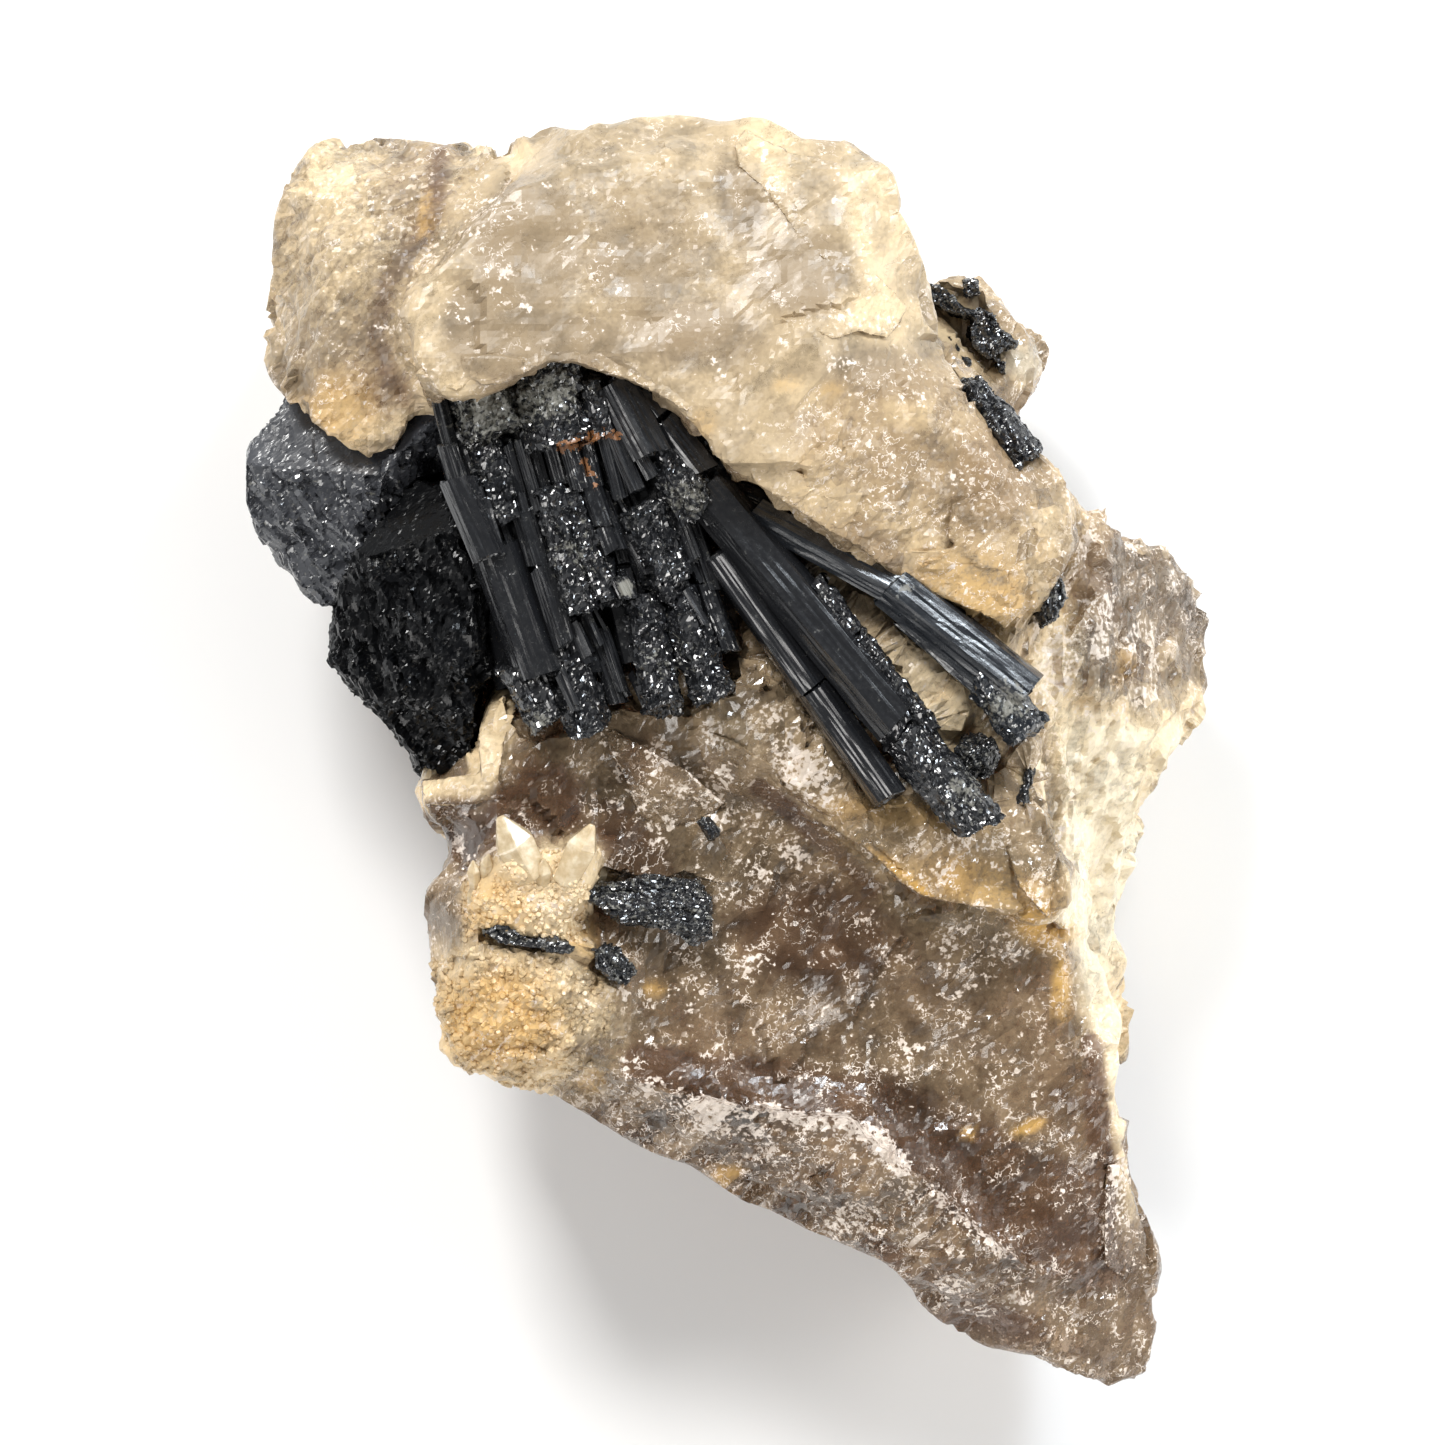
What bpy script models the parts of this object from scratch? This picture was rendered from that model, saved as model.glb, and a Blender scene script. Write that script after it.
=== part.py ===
"""Schorl on smoky quartz: a hand-sized mineral specimen lying on its broken back.

The view from above (+Z) is the specimen's display face, and +Y is its upper end there. Sizes are in
millimetres and are turned into metres by MM as each mesh is made. Every coarse crystal is an outline,
extruded and narrowed towards its back, whose sides and front are cut by flat faces. Every other schorl
crystal is a prism laid from one point to another. Crystals that grew together are fused.
"""

import math
import random

import bmesh
import bpy
from mathutils import Matrix, Vector, noise

MM = 0.001

# Driving dimensions, in millimetres
GAP = 0.62  # clearance between a schorl crystal and the quartz round it
QUARTZ_GRAIN = 1.05  # voxel that fuses the quartz crystals
DRUSE_GRAIN = 0.6  # voxel that fuses the small pale crystals to the body
POCKET_GRAIN = 0.4  # voxel of a pocket round a schorl crystal

# Lumps on each mineral's surface, as pairs of their size and their height in millimetres
QUARTZ_LUMPS = [(7.0, 0.6), (2.6, 0.5), (1.3, 0.3)]
SCHORL_LUMPS = [(2.4, 0.24), (0.9, 0.16)]

# How uneven a prism is, as shares of its own size
PRISM_RADIUS = 0.56  # of its corners, where its width is 1
WIDTH_SPREAD = (0.92, 1.08)  # from corner to corner
THICKNESS_SPREAD = (0.92, 1.05)
END_SLANT = 0.12  # rise of its ends over its thickness
LEAN = 0.04  # rise of its far end over its length

# How much of the normal of a quartz point's end faces runs along the crystal, and how much away from it
TIP_ALONG = 0.62
TIP_OUT = 0.78

# Triangles
QUARTZ_TRIANGLES = 5300
QUARTZ_DRAFT = 16000  # while the pockets are cut
DRAFT_SHARE = 2  # of a crystal for each final one, while it is cut clear of its neighbours
POCKET_SHARE = 2  # of a pocket for each one of its crystal

# Each quartz crystal: outline, back and front heights, how far its back narrows, and the faces that cut
# it. A face is a point on it, its dip in degrees, and the bearing that it dips towards, where 0 is +X and
# 90 is +Y. A dip over 90 undercuts a side.
QUARTZ = {
    "root": dict(
        outline=[(-23, 34), (-10, 38), (6, 36), (12, 25), (19, 17), (26, 9), (23, -6), (22, -20),
                 (23, -34), (10, -29.5), (-6, -21), (-15, -17), (-16, -5), (-21, 4), (-26, 14), (-25, 24)],
        back=-1.5, front=21, narrow=0.86,
        faces=[((0, 37, 9), 128, 88), ((-25, 28, 9), 122, 155), ((25, 8, 8), 126, 20),
               ((22, -22, 7), 118, 350), ((2, -26, 8), 124, 245), ((-20, 0, 9), 118, 195),
               ((12, 28, 11), 115, 40)],
    ),
    "crown": dict(
        outline=[(-15.2, 38.6), (-11.4, 40.2), (-6.2, 40.8), (-3.5, 41.2), (2.2, 40.6), (4.1, 39.1),
                 (8.1, 38.8), (9.6, 37.2), (10.6, 34.6), (12.2, 30.4), (13.0, 26.2), (10.0, 18.0),
                 (-1.4, 17.5), (-3.0, 20.1), (-5.5, 22.6), (-8.8, 24.1), (-11.4, 24.5), (-15.2, 22.5),
                 (-18.8, 21.2), (-20.5, 23.9), (-21.5, 27.3), (-18.6, 31.5), (-14.5, 36.5)],
        back=7, front=42, narrow=0.8,
        faces=[((-4, 27, 39.3), 12, 80), ((-4, 38.2, 35.5), 48, 88), ((8, 30, 37.5), 27, 15),
               ((11.8, 30, 33.5), 66, 12), ((-13, 39, 30), 72, 120), ((0, 41.5, 24), 96, 92),
               ((6, 39.5, 18), 112, 75)],
    ),
    "shoulder": dict(
        outline=[(4.0, 27.5), (12.9, 26.2), (16.1, 23.0), (19.3, 19.4), (20.9, 17.6), (22.0, 15.9),
                 (22.1, 12.3), (20.6, 9.6), (18.5, 7.4), (15.8, 8.6), (12.8, 10.2), (10.9, 9.7),
                 (8.0, 12.2), (4.1, 15.4), (1.5, 16.8), (-1.4, 17.5)],
        back=8, front=42, narrow=0.85,
        faces=[((9, 19, 38.4), 17, 335), ((19, 15, 34.5), 50, 25), ((15.5, 22, 34.5), 57, 45),
               ((16.5, 8.5, 34.5), 34, 265)],
    ),
    "horn": dict(
        outline=[(-14.9, 38.6), (-19.1, 39.0), (-24.9, 39.6), (-27.2, 38.6), (-28.8, 36.4),
                 (-29.5, 34.1), (-29.7, 31.0), (-30.4, 27.5), (-30.6, 26.0), (-30.0, 23.9),
                 (-28.4, 22.0), (-26.2, 19.8), (-24.4, 17.6), (-22.6, 18.0), (-19.7, 21.0),
                 (-14.0, 25.0), (-12.0, 34.0)],
        back=8, front=36, narrow=0.82,
        faces=[((-21, 33, 33.0), 20, 110), ((-21, 27, 33.4), 12, 205), ((-28.4, 30, 29), 60, 180),
               ((-22, 38, 29.5), 60, 95), ((-25, 18.4, 31.0), 40, 250), ((-29, 34, 18), 112, 165)],
    ),
    "body": dict(
        outline=[(-19.9, -2.0), (-18.9, -6.5), (-19.4, -9.0), (-19.2, -15.0), (-18.3, -20.3),
                 (-15.2, -21.6), (-11.4, -22.6), (-8.1, -24.6), (-3.6, -26.9), (0.3, -28.8),
                 (4.1, -30.6), (8.6, -33.2), (12.5, -36.6), (17.0, -39.6), (20.9, -41.6),
                 (25.6, -43.6), (28.8, -42.4), (29.6, -39.4), (28.6, -33.6), (26.6, -28.2),
                 (25.8, -22.5), (25.2, -16.0), (22.6, -9.6), (21.0, 3.0), (18.3, 7.2), (9.0, 18.0),
                 (-2.3, 22.0), (-15.0, 18.0), (-16.2, 3.3), (-16.4, -1.6)],
        back=-1.5, front=36, narrow=0.9,
        faces=[((-3, -10, 28.4), 11, 310), ((5, -27.3, 24.4), 50, 246), ((26.0, -25, 21.5), 62, 15),
               ((-18.8, -5, 25), 58, 180), ((25, -37, 17.5), 30, 320), ((4, -29.5, 10), 121, 246),
               ((27.5, -40.5, 8), 128, 300), ((25, -25, 10), 119, 0), ((-18.5, -12, 11), 117, 180),
               ((-13, -20.5, 11), 122, 235)],
    ),
    "table": dict(
        outline=[(-1.4, 19.5), (10.9, 11.5), (18.5, 9.0), (19.6, 3.3), (20.4, -0.6), (21.2, -4.5),
                 (22.4, -8.6), (22.1, -11.4), (19.4, -12.3), (17.2, -11.2), (12.5, -9.8), (9.9, -7.7),
                 (7.6, -5.9), (4.9, -3.9), (3.3, -2.4), (-1.0, -1.2), (-5.5, 1.4), (-9.5, 3.0),
                 (-14.0, 6.0), (-14.0, 18.0)],
        back=12, front=36, narrow=0.8,
        faces=[((8, 3, 32.8), 7, 320), ((-6, 4, 31.4), 20, 225), ((20, -3, 31.2), 45, 8),
               ((13, -6.5, 32.4), 12, 262)],
    ),
    "flank": dict(
        outline=[(20.0, 17.6), (22.5, 16.2), (26.1, 15.1), (29.2, 14.0), (31.8, 12.7), (32.8, 8.5),
                 (32.9, 4.0), (30.2, 1.6), (27.9, -0.7), (26.6, -4.5), (25.6, -7.0), (25.0, -13.5),
                 (25.6, -16.1), (25.2, -20.0), (25.2, -26.0), (21.0, -18.0), (17.0, 3.3), (16.0, 12.0)],
        back=3, front=30, narrow=0.8,
        faces=[((25.5, 9, 25.5), 15, 25), ((30.4, 8, 22.5), 62, 5), ((24.9, -6, 23.5), 60, 2),
               ((26, 14.6, 23), 48, 70), ((29.4, 3.2, 21.5), 42, 305), ((31, 10, 14), 122, 12)],
    ),
    "back_crystal": dict(
        outline=[(8.0, 29.0), (12.5, 31.0), (15.2, 31.5), (17.4, 30.0), (18.4, 28.0), (19.2, 27.0),
                 (20.9, 26.2), (20.2, 24.0), (18.2, 21.6), (17.0, 17.0), (8.0, 16.0)],
        back=9, front=20, narrow=0.8,
        faces=[((15, 27, 18), 18, 60), ((18.8, 24.6, 16), 40, 10)],
    ),
    "lump": dict(
        outline=[(-20.1, -7.8), (-20.6, -11.5), (-20.0, -15.1), (-19.4, -18.3), (-18.5, -20.6),
                 (-15.2, -21.8), (-12.3, -22.0), (-9.7, -20.6), (-7.2, -16.6), (-6.6, -14.4),
                 (-9.7, -11.9), (-11.4, -9.4), (-16.5, -7.4)],
        back=12, front=33, narrow=0.85,
        faces=[((-14, -15, 31.2), 13, 235), ((-19.0, -14, 27.5), 56, 182), ((-14, -20.4, 28.2), 52, 262),
               ((-9, -17, 29.6), 32, 320), ((-14, -9, 30.8), 20, 95)],
    ),
    "lip": dict(
        outline=[(-9.5, -18.6), (-6.0, -20.4), (-3.6, -21.4), (0.3, -22.0), (4.1, -22.8), (7.4, -22.6),
                 (9.4, -24.2), (10.8, -26.6), (14.0, -28.8), (17.5, -33.0), (14.0, -35.5),
                 (8.6, -32.1), (4.1, -29.7), (0.3, -28.4), (-3.6, -26.5), (-8.1, -24.2)],
        back=10, front=30, narrow=0.95,
        faces=[((0, -23.5, 28.0), 11, 310), ((3, -25.4, 27.2), 44, 246)],
    ),
    "rim_post": dict(
        outline=[(-15.7, 4.3), (-14.0, 3.9), (-14.3, 0.7), (-14.7, -3.0), (-16.2, -3.0), (-16.1, 1.4)],
        back=18, front=32.4, narrow=1.0,
        faces=[((-15.2, 0, 31.8), 14, 300)],
    ),
    "rim_foot": dict(
        outline=[(-20.4, -2.0), (-16.2, -1.7), (-15.0, -3.2), (-16.5, -4.6), (-19.5, -4.4)],
        back=14, front=30.2, narrow=0.95,
        faces=[((-18, -2.6, 29.6), 16, 225)],
    ),
}

# The two coarse crystals at the left edge, in the same form as the quartz.
SIDE_CRYSTAL = {
    "blade": dict(
        outline=[(-28.4, 22.8), (-29.8, 21.1), (-31.8, 18.4), (-31.7, 16.1), (-30.2, 13.6),
                 (-28.2, 11.0), (-26.6, 9.3), (-24.6, 9.8), (-23.0, 13.6), (-18.9, 21.0),
                 (-19.5, 24.5), (-25.0, 25.5)],
        back=10, front=34, narrow=0.85,
        faces=[((-21.5, 17.5, 29.6), 20, 215), ((-28.5, 19.5, 25.6), 44, 158), ((-27.5, 12.5, 25.0), 58, 222),
               ((-22.4, 15.4, 29.4), 68, 335), ((-31, 17, 17), 112, 190)],
    ),
    "heel": dict(
        outline=[(-20.6, 21.6), (-18.0, 21.5), (-18.2, 18.2), (-20.8, 16.6), (-23.0, 14.6), (-24.0, 17.0)],
        back=14, front=27.5, narrow=0.9,
        faces=[((-20, 18.5, 26.6), 22, 330)],
    ),
}
LOWER_CRYSTAL = {
    "mass": dict(
        outline=[(-24.4, 12.6), (-25.6, 9.8), (-25.9, 5.9), (-25.2, 4.6), (-23.2, 2.8), (-21.2, 0.3),
                 (-20.4, -1.5), (-16.8, -1.2), (-16.7, 0.7), (-16.4, 3.9), (-15.5, 5.0), (-15.8, 7.0),
                 (-15.6, 10.5), (-16.4, 12.1), (-17.4, 12.9), (-18.6, 16.6), (-20.2, 17.4), (-22.6, 14.8)],
        back=12, front=36, narrow=0.85,
        faces=[((-19.5, 9, 31.6), 24, 205), ((-25, 6, 18), 110, 190), ((-24, 8, 28.2), 54, 185),
               ((-22.2, 2.0, 27.2), 50, 222), ((-20, 15.5, 30.2), 42, 95), ((-17, 9, 31.4), 30, 350)],
    ),
    "step": dict(
        outline=[(-21.5, 9.6), (-18.0, 13.4), (-16.8, 11.6), (-16.2, 6.0), (-18.6, 2.6), (-21.0, 4.5)],
        back=20, front=34, narrow=0.95,
        faces=[((-18.6, 8.2, 32.6), 20, 230)],
    ),
}

# Each schorl prism: start and end of the crystal as seen from the front, the height of its front face,
# its width, and its thickness from front to back.
FAN_COLUMNS = [
    ((-17.0, 23.2), (-15.3, 19.3), 37.6, 5.6, 6.0),
    ((-12.4, 25.6), (-11.3, 19.2), 38.2, 4.7, 6.5),
    ((-9.3, 25.0), (-8.0, 19.6), 37.8, 2.8, 6.0),
    ((-6.4, 24.4), (-3.6, 18.0), 37.5, 4.0, 6.5),
    ((-3.9, 21.2), (-2.1, 14.8), 36.9, 4.4, 6.5),
    ((-18.5, 21.5), (-17.5, 16.5), 35.4, 1.5, 5.0),
    ((-17.9, 18.2), (-15.3, 12.4), 36.6, 3.3, 5.5),
    ((-15.8, 19.6), (-13.8, 14.8), 36.2, 3.0, 5.5),
    ((-13.6, 19.0), (-12.0, 13.0), 35.6, 1.5, 5.0),
    ((-12.0, 20.0), (-10.4, 15.8), 35.9, 2.2, 5.0),
    ((-9.4, 20.2), (-7.8, 14.0), 36.4, 1.9, 5.0),
    ((-7.7, 20.6), (-5.8, 14.8), 37.2, 3.1, 6.0),
    ((-11.6, 16.8), (-8.9, 8.4), 36.7, 5.0, 6.5),
    ((-6.2, 15.4), (-4.3, 10.3), 36.5, 4.4, 6.0),
    ((-8.6, 14.6), (-6.2, 8.8), 34.6, 1.5, 4.5),
    ((-15.4, 13.4), (-12.4, 3.8), 35.0, 3.9, 6.0),
    ((-12.6, 6.6), (-10.3, 1.2), 34.9, 5.8, 6.0),
    ((-9.0, 8.8), (-7.0, 3.2), 33.4, 2.2, 5.0),
    ((-5.8, 11.2), (-3.2, 2.5), 36.1, 5.6, 6.5),
    ((-2.3, 12.8), (-0.6, 5.6), 33.8, 2.6, 5.0),
]
FAN_CORE = [
    ((-15.0, 22.5), (-10.6, 4.5), 33.8, 9.5, 8.0),
    ((-8.5, 23.5), (-4.4, 6.5), 34.2, 9.5, 8.5),
    ((-3.6, 20.5), (1.0, 14.0), 33.5, 6.0, 7.0),
]
ROD_PAIR = [
    ((-1.2, 12.6), (9.6, -3.2), 36.0, 3.1, 4.6),
    ((-0.8, 15.7), (15.0, -4.6), 36.6, 4.5, 5.4),
]
BLUE_ROD = [
    ((2.8, 14.6), (10.8, 9.8), 35.4, 2.7, 4.8),
    ((10.0, 10.0), (18.4, 2.8), 35.9, 3.7, 4.6),
    ((15.6, 4.0), (19.0, 1.4), 35.6, 4.3, 4.6),
]
KNOB = [((14.2, 1.2), (16.4, -1.5), 33.9, 3.0, 3.6)]
SHOULDER_GRAIN = [
    ((14.6, 23.4), (16.4, 20.8), 33.9, 2.2, 3.6),
    ((16.2, 21.0), (18.6, 18.2), 34.2, 2.9, 3.8),
]
FLANK_GRAIN = [((20.0, 11.2), (19.4, 8.2), 32.2, 2.3, 5.0)]
SEAM_CRYSTAL = [
    ((-9.2, -8.9), (-1.8, -10.4), 30.9, 3.4, 3.0),
    ((-4.4, -8.9), (-1.6, -9.9), 30.6, 3.2, 3.0),
]
GREEN_NEEDLE = [((-16.6, -11.7), (-10.6, -12.6), 31.9, 1.3, 2.4)]
SEAM_GRAIN = [((-9.2, -12.9), (-6.9, -14.3), 31.4, 2.3, 2.6)]
MIDDLE_SPECK = [((-2.2, -4.2), (-1.2, -5.6), 31.2, 1.2, 2.0)]
TABLE_SLIVER = [((18.7, -1.0), (18.2, -3.4), 31.6, 1.0, 2.2)]
BACK_GRAINS = [
    ((12.4, 29.6), (14.6, 28.2), 18.2, 2.2, 3.2),
    ((14.4, 28.4), (17.0, 25.6), 18.6, 2.4, 3.4),
    ((15.4, 29.8), (15.6, 26.6), 18.0, 1.8, 3.0),
    ((14.2, 26.4), (16.2, 24.2), 17.6, 1.8, 3.0),
]

# Each piece of schorl: its node, its crystals, its triangles and the voxel that fuses it.
SCHORL = [
    ("schorl_fan", FAN_CORE + FAN_COLUMNS, 1900, 0.4),
    ("schorl_rod_pair", ROD_PAIR, 440, 0.4),
    ("schorl_blue_rod", BLUE_ROD, 380, 0.4),
    ("schorl_side_crystal", SIDE_CRYSTAL, 420, 0.6),
    ("schorl_lower_crystal", LOWER_CRYSTAL, 480, 0.6),
    ("schorl_knob", KNOB, 120, 0.4),
    ("schorl_shoulder_grain", SHOULDER_GRAIN, 150, 0.4),
    ("schorl_flank_grain", FLANK_GRAIN, 120, 0.4),
    ("schorl_seam_crystal", SEAM_CRYSTAL, 180, 0.4),
    ("schorl_green_needle", GREEN_NEEDLE, 110, 0.3),
    ("schorl_seam_grain", SEAM_GRAIN, 100, 0.4),
    ("schorl_middle_speck", MIDDLE_SPECK, 60, 0.3),
    ("schorl_table_sliver", TABLE_SLIVER, 60, 0.3),
    ("schorl_back_grains", BACK_GRAINS, 240, 0.4),
]

# The pale crust of small quartz crystals: its outline and height, the crystals strewn over it, and its
# two free points as start, end, height of the front, width and thickness.
DRUSE_OUTLINE = [(-16.8, -6.4), (-14.4, -5.8), (-11.8, -6.2), (-8.9, -6.0), (-8.4, -7.6), (-9.6, -9.6),
                 (-11.2, -11.0), (-14.8, -11.0), (-16.7, -10.4)]
DRUSE_HEIGHT = 32.3
DRUSE_FACES = [((-13, -8, 31.9), 9, 200)]
DRUSE_CRYSTALS = 22
DRUSE_ACROSS = (-16.2, -9.6)  # range of their starts along X
DRUSE_ALONG = (-10.6, -6.8)  # and along Y
DRUSE_SWAY = (-1.0, 1.0)  # range from a start to its tip along X
DRUSE_REACH = (1.0, 1.8)  # and along Y
DRUSE_RISE = (0.0, 0.6)  # range of their fronts over the crust
DRUSE_WIDTH = 1.6
DRUSE_THICKNESS = 2.0
DRUSE_POINTS = [
    ((-13.6, -8.2), (-14.3, -4.7), 34.0, 2.4, 2.2),
    ((-10.8, -8.4), (-9.4, -4.9), 33.8, 1.9, 2.0),
]


def clear_scene():
    """Removes whatever the scene holds."""
    for old in list(bpy.data.objects):
        bpy.data.objects.remove(old)


def collection(name):
    """A new collection in the scene."""
    made = bpy.data.collections.new(name)
    bpy.context.scene.collection.children.link(made)
    return made


def material(name, colour, roughness):
    """A plain Principled material."""
    made = bpy.data.materials.new(name)
    made.use_nodes = True
    shader = made.node_tree.nodes["Principled BSDF"]
    shader.inputs["Base Color"].default_value = (*colour, 1)
    shader.inputs["Roughness"].default_value = roughness
    shader.inputs["Metallic"].default_value = 0
    return made


def place(name, bm, into, finish=None):
    """Turns a bmesh in millimetres into a named object in metres."""
    bmesh.ops.scale(bm, vec=(MM, MM, MM), verts=bm.verts)
    mesh = bpy.data.meshes.new(name)
    bm.to_mesh(mesh)
    bm.free()
    made = bpy.data.objects.new(name, mesh)
    into.objects.link(made)
    if finish:
        mesh.materials.append(finish)
    return made


def shaped(obj):
    """The object's mesh with its modifiers applied, as a bmesh in millimetres."""
    bpy.context.view_layer.update()
    graph = bpy.context.evaluated_depsgraph_get()
    mesh = bpy.data.meshes.new_from_object(obj.evaluated_get(graph))
    bm = bmesh.new()
    bm.from_mesh(mesh)
    bpy.data.meshes.remove(mesh)
    bmesh.ops.scale(bm, vec=(1 / MM, 1 / MM, 1 / MM), verts=bm.verts)
    return bm


def taken(obj):
    """The object's shaped bmesh. The object is removed."""
    bm = shaped(obj)
    bpy.data.objects.remove(obj)
    return bm


def extruded(outline, low, high):
    """The outline as a closed slab between two heights."""
    curve = bpy.data.curves.new("outline", "CURVE")
    curve.dimensions = "2D"
    curve.fill_mode = "BOTH"
    curve.extrude = (high - low) / 2 * MM
    spline = curve.splines.new("POLY")
    spline.points.add(len(outline) - 1)
    for point, (x, y) in zip(spline.points, outline):
        point.co = (x * MM, y * MM, 0, 1)
    spline.use_cyclic_u = True
    guide = bpy.data.objects.new("outline", curve)
    bpy.context.scene.collection.objects.link(guide)
    bm = taken(guide)
    bmesh.ops.remove_doubles(bm, verts=bm.verts, dist=0.01)
    bmesh.ops.translate(bm, vec=(0, 0, (low + high) / 2), verts=bm.verts)
    return bm


def dipping(dip, bearing):
    """The outward normal of a face that dips by an angle towards a bearing."""
    dip, bearing = math.radians(dip), math.radians(bearing)
    flat = math.sin(dip)
    return Vector((flat * math.cos(bearing), flat * math.sin(bearing), math.cos(dip)))


def cut_face(bm, point, normal):
    """Cuts away what lies beyond a plane and closes the cut."""
    geometry = bm.verts[:] + bm.edges[:] + bm.faces[:]
    bmesh.ops.bisect_plane(bm, geom=geometry, plane_co=point, plane_no=normal, clear_outer=True)
    bmesh.ops.holes_fill(bm, edges=bm.edges)


def block_crystal(outline, back, front, narrow, faces):
    """One coarse crystal: a slab whose back is narrowed and whose sides and front are cut by flat faces."""
    bm = extruded(outline, back, front)
    middle = sum((v.co for v in bm.verts), Vector()) / len(bm.verts)
    for v in bm.verts:
        if v.co.z < middle.z:
            v.co.x = middle.x + (v.co.x - middle.x) * narrow
            v.co.y = middle.y + (v.co.y - middle.y) * narrow
    for point, dip, bearing in faces:
        cut_face(bm, point, dipping(dip, bearing))
    return bm


def prism(start, end, front, width, thickness, seed):
    """A crystal laid from start to end, with an uneven six-sided section and slanting ends."""
    rng = random.Random(seed)
    along = Vector((end[0] - start[0], end[1] - start[1], 0))
    lean = Vector((0, 0, rng.uniform(-LEAN, LEAN) * along.length))
    bm = bmesh.new()
    bmesh.ops.create_cone(bm, cap_ends=True, segments=6, radius1=PRISM_RADIUS, radius2=PRISM_RADIUS,
                          depth=along.length)
    for v in bm.verts:
        turn = round(math.degrees(math.atan2(v.co.y, v.co.x)))
        corner = random.Random(seed * 1000 + turn)
        v.co.x *= width * corner.uniform(*WIDTH_SPREAD)
        v.co.y *= thickness * corner.uniform(*THICKNESS_SPREAD)
        v.co.z += v.co.y * rng.uniform(-END_SLANT, END_SLANT)
    turned = (along + lean).to_track_quat("Z", "Y").to_matrix().to_4x4()
    middle = Vector(((start[0] + end[0]) / 2, (start[1] + end[1]) / 2, front - thickness / 2))
    bmesh.ops.transform(bm, matrix=Matrix.Translation(middle) @ turned, verts=bm.verts)
    bmesh.ops.recalc_face_normals(bm, faces=bm.faces)
    return bm


def quartz_point(start, end, front, width, thickness, seed):
    """A small quartz crystal laid from start to its tip, which three slanting faces close."""
    bm = prism(start, end, front, width, thickness, seed)
    axis = Vector((end[0] - start[0], end[1] - start[1], 0)).normalized()
    side = Vector((-axis.y, axis.x, 0))
    tip = Vector((end[0], end[1], front - thickness / 2))
    for turn in (90, 210, 330):
        out = side * math.cos(math.radians(turn)) + Vector((0, 0, math.sin(math.radians(turn))))
        cut_face(bm, tip, (axis * TIP_ALONG + out * TIP_OUT).normalized())
    return bm


def joined(shapes):
    """Several bmeshes as one, still overlapping."""
    whole = bmesh.new()
    for bm in shapes:
        mesh = bpy.data.meshes.new("shape")
        bm.to_mesh(mesh)
        bm.free()
        whole.from_mesh(mesh)
        bpy.data.meshes.remove(mesh)
    return whole


def fused(bm, grain, swell=0.0):
    """Overlapping closed shapes as one closed skin, moved outwards by swell."""
    helper = place("fusing", bm, bpy.context.scene.collection)
    remesh = helper.modifiers.new("Fuse", "REMESH")
    remesh.mode = "VOXEL"
    remesh.voxel_size = grain * MM
    if swell:
        push = helper.modifiers.new("Swell", "DISPLACE")
        push.strength = swell * MM
        push.mid_level = 0
    return taken(helper)


def thinned(bm, triangles):
    """The same skin with about this many triangles."""
    bmesh.ops.triangulate(bm, faces=bm.faces)
    share = min(1.0, triangles / len(bm.faces))
    helper = place("thinning", bm, bpy.context.scene.collection)
    thin = helper.modifiers.new("Thin", "DECIMATE")
    thin.ratio = share
    return taken(helper)


def roughened(bm, seed, sizes):
    """Moves each point along its normal by noise. sizes is a list of lump size and height."""
    bm.normal_update()
    shift = Vector((seed * 17.3, seed * 5.1, seed * 9.7))
    for v in bm.verts:
        push = sum(height * noise.noise(v.co / size + shift) for size, height in sizes)
        v.co += v.normal * push
    return bm


def largest(bm):
    """Keeps only the biggest of the separate bodies."""
    left, bodies = set(bm.verts), []
    while left:
        body, todo = set(), [left.pop()]
        while todo:
            v = todo.pop()
            body.add(v)
            near = [e.other_vert(v) for e in v.link_edges]
            todo += [n for n in near if n in left]
            left -= set(near)
        bodies.append(body)
    keep = max(bodies, key=len)
    bmesh.ops.delete(bm, geom=[v for v in bm.verts if v not in keep], context="VERTS")
    return bm


def cleared(bm, neighbours):
    """The shape with the neighbours' pockets cut out of it, as one body."""
    helper = place("clearing", bm, bpy.context.scene.collection)
    for cutter in neighbours:
        cut_pocket(helper, cutter)
    return largest(taken(helper))


def schorl(name, crystals, seed, triangles, into, finish, clear_of, grain):
    """A schorl crystal, or several grown together, as one solid that keeps clear of its neighbours."""
    if isinstance(crystals, dict):
        shapes = [block_crystal(**row) for row in crystals.values()]
    else:
        shapes = [prism(*row, seed=seed + i) for i, row in enumerate(crystals)]
    skin = fused(joined(shapes), grain)
    roughened(skin, seed, SCHORL_LUMPS)
    skin = cleared(thinned(largest(skin), DRAFT_SHARE * triangles), clear_of)
    return place(name, thinned(skin, triangles), into, finish)


def pocket_cutter(obj, into):
    """A swollen copy of a crystal, which cuts the space that it sits in."""
    skin = fused(fused(shaped(obj), POCKET_GRAIN), POCKET_GRAIN, GAP)
    skin = thinned(skin, POCKET_SHARE * len(obj.data.polygons))
    made = place("pocket_" + obj.name, skin, into)
    made.hide_render = True
    made.display_type = "WIRE"
    return made


def cut_pocket(obj, cutter):
    """Takes the cutter's space out of the object. The exact solver loses the quartz in the fan's pocket."""
    cut = obj.modifiers.new("Pocket " + cutter.name, "BOOLEAN")
    cut.operation = "DIFFERENCE"
    cut.solver = "MANIFOLD"
    cut.object = cutter


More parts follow.
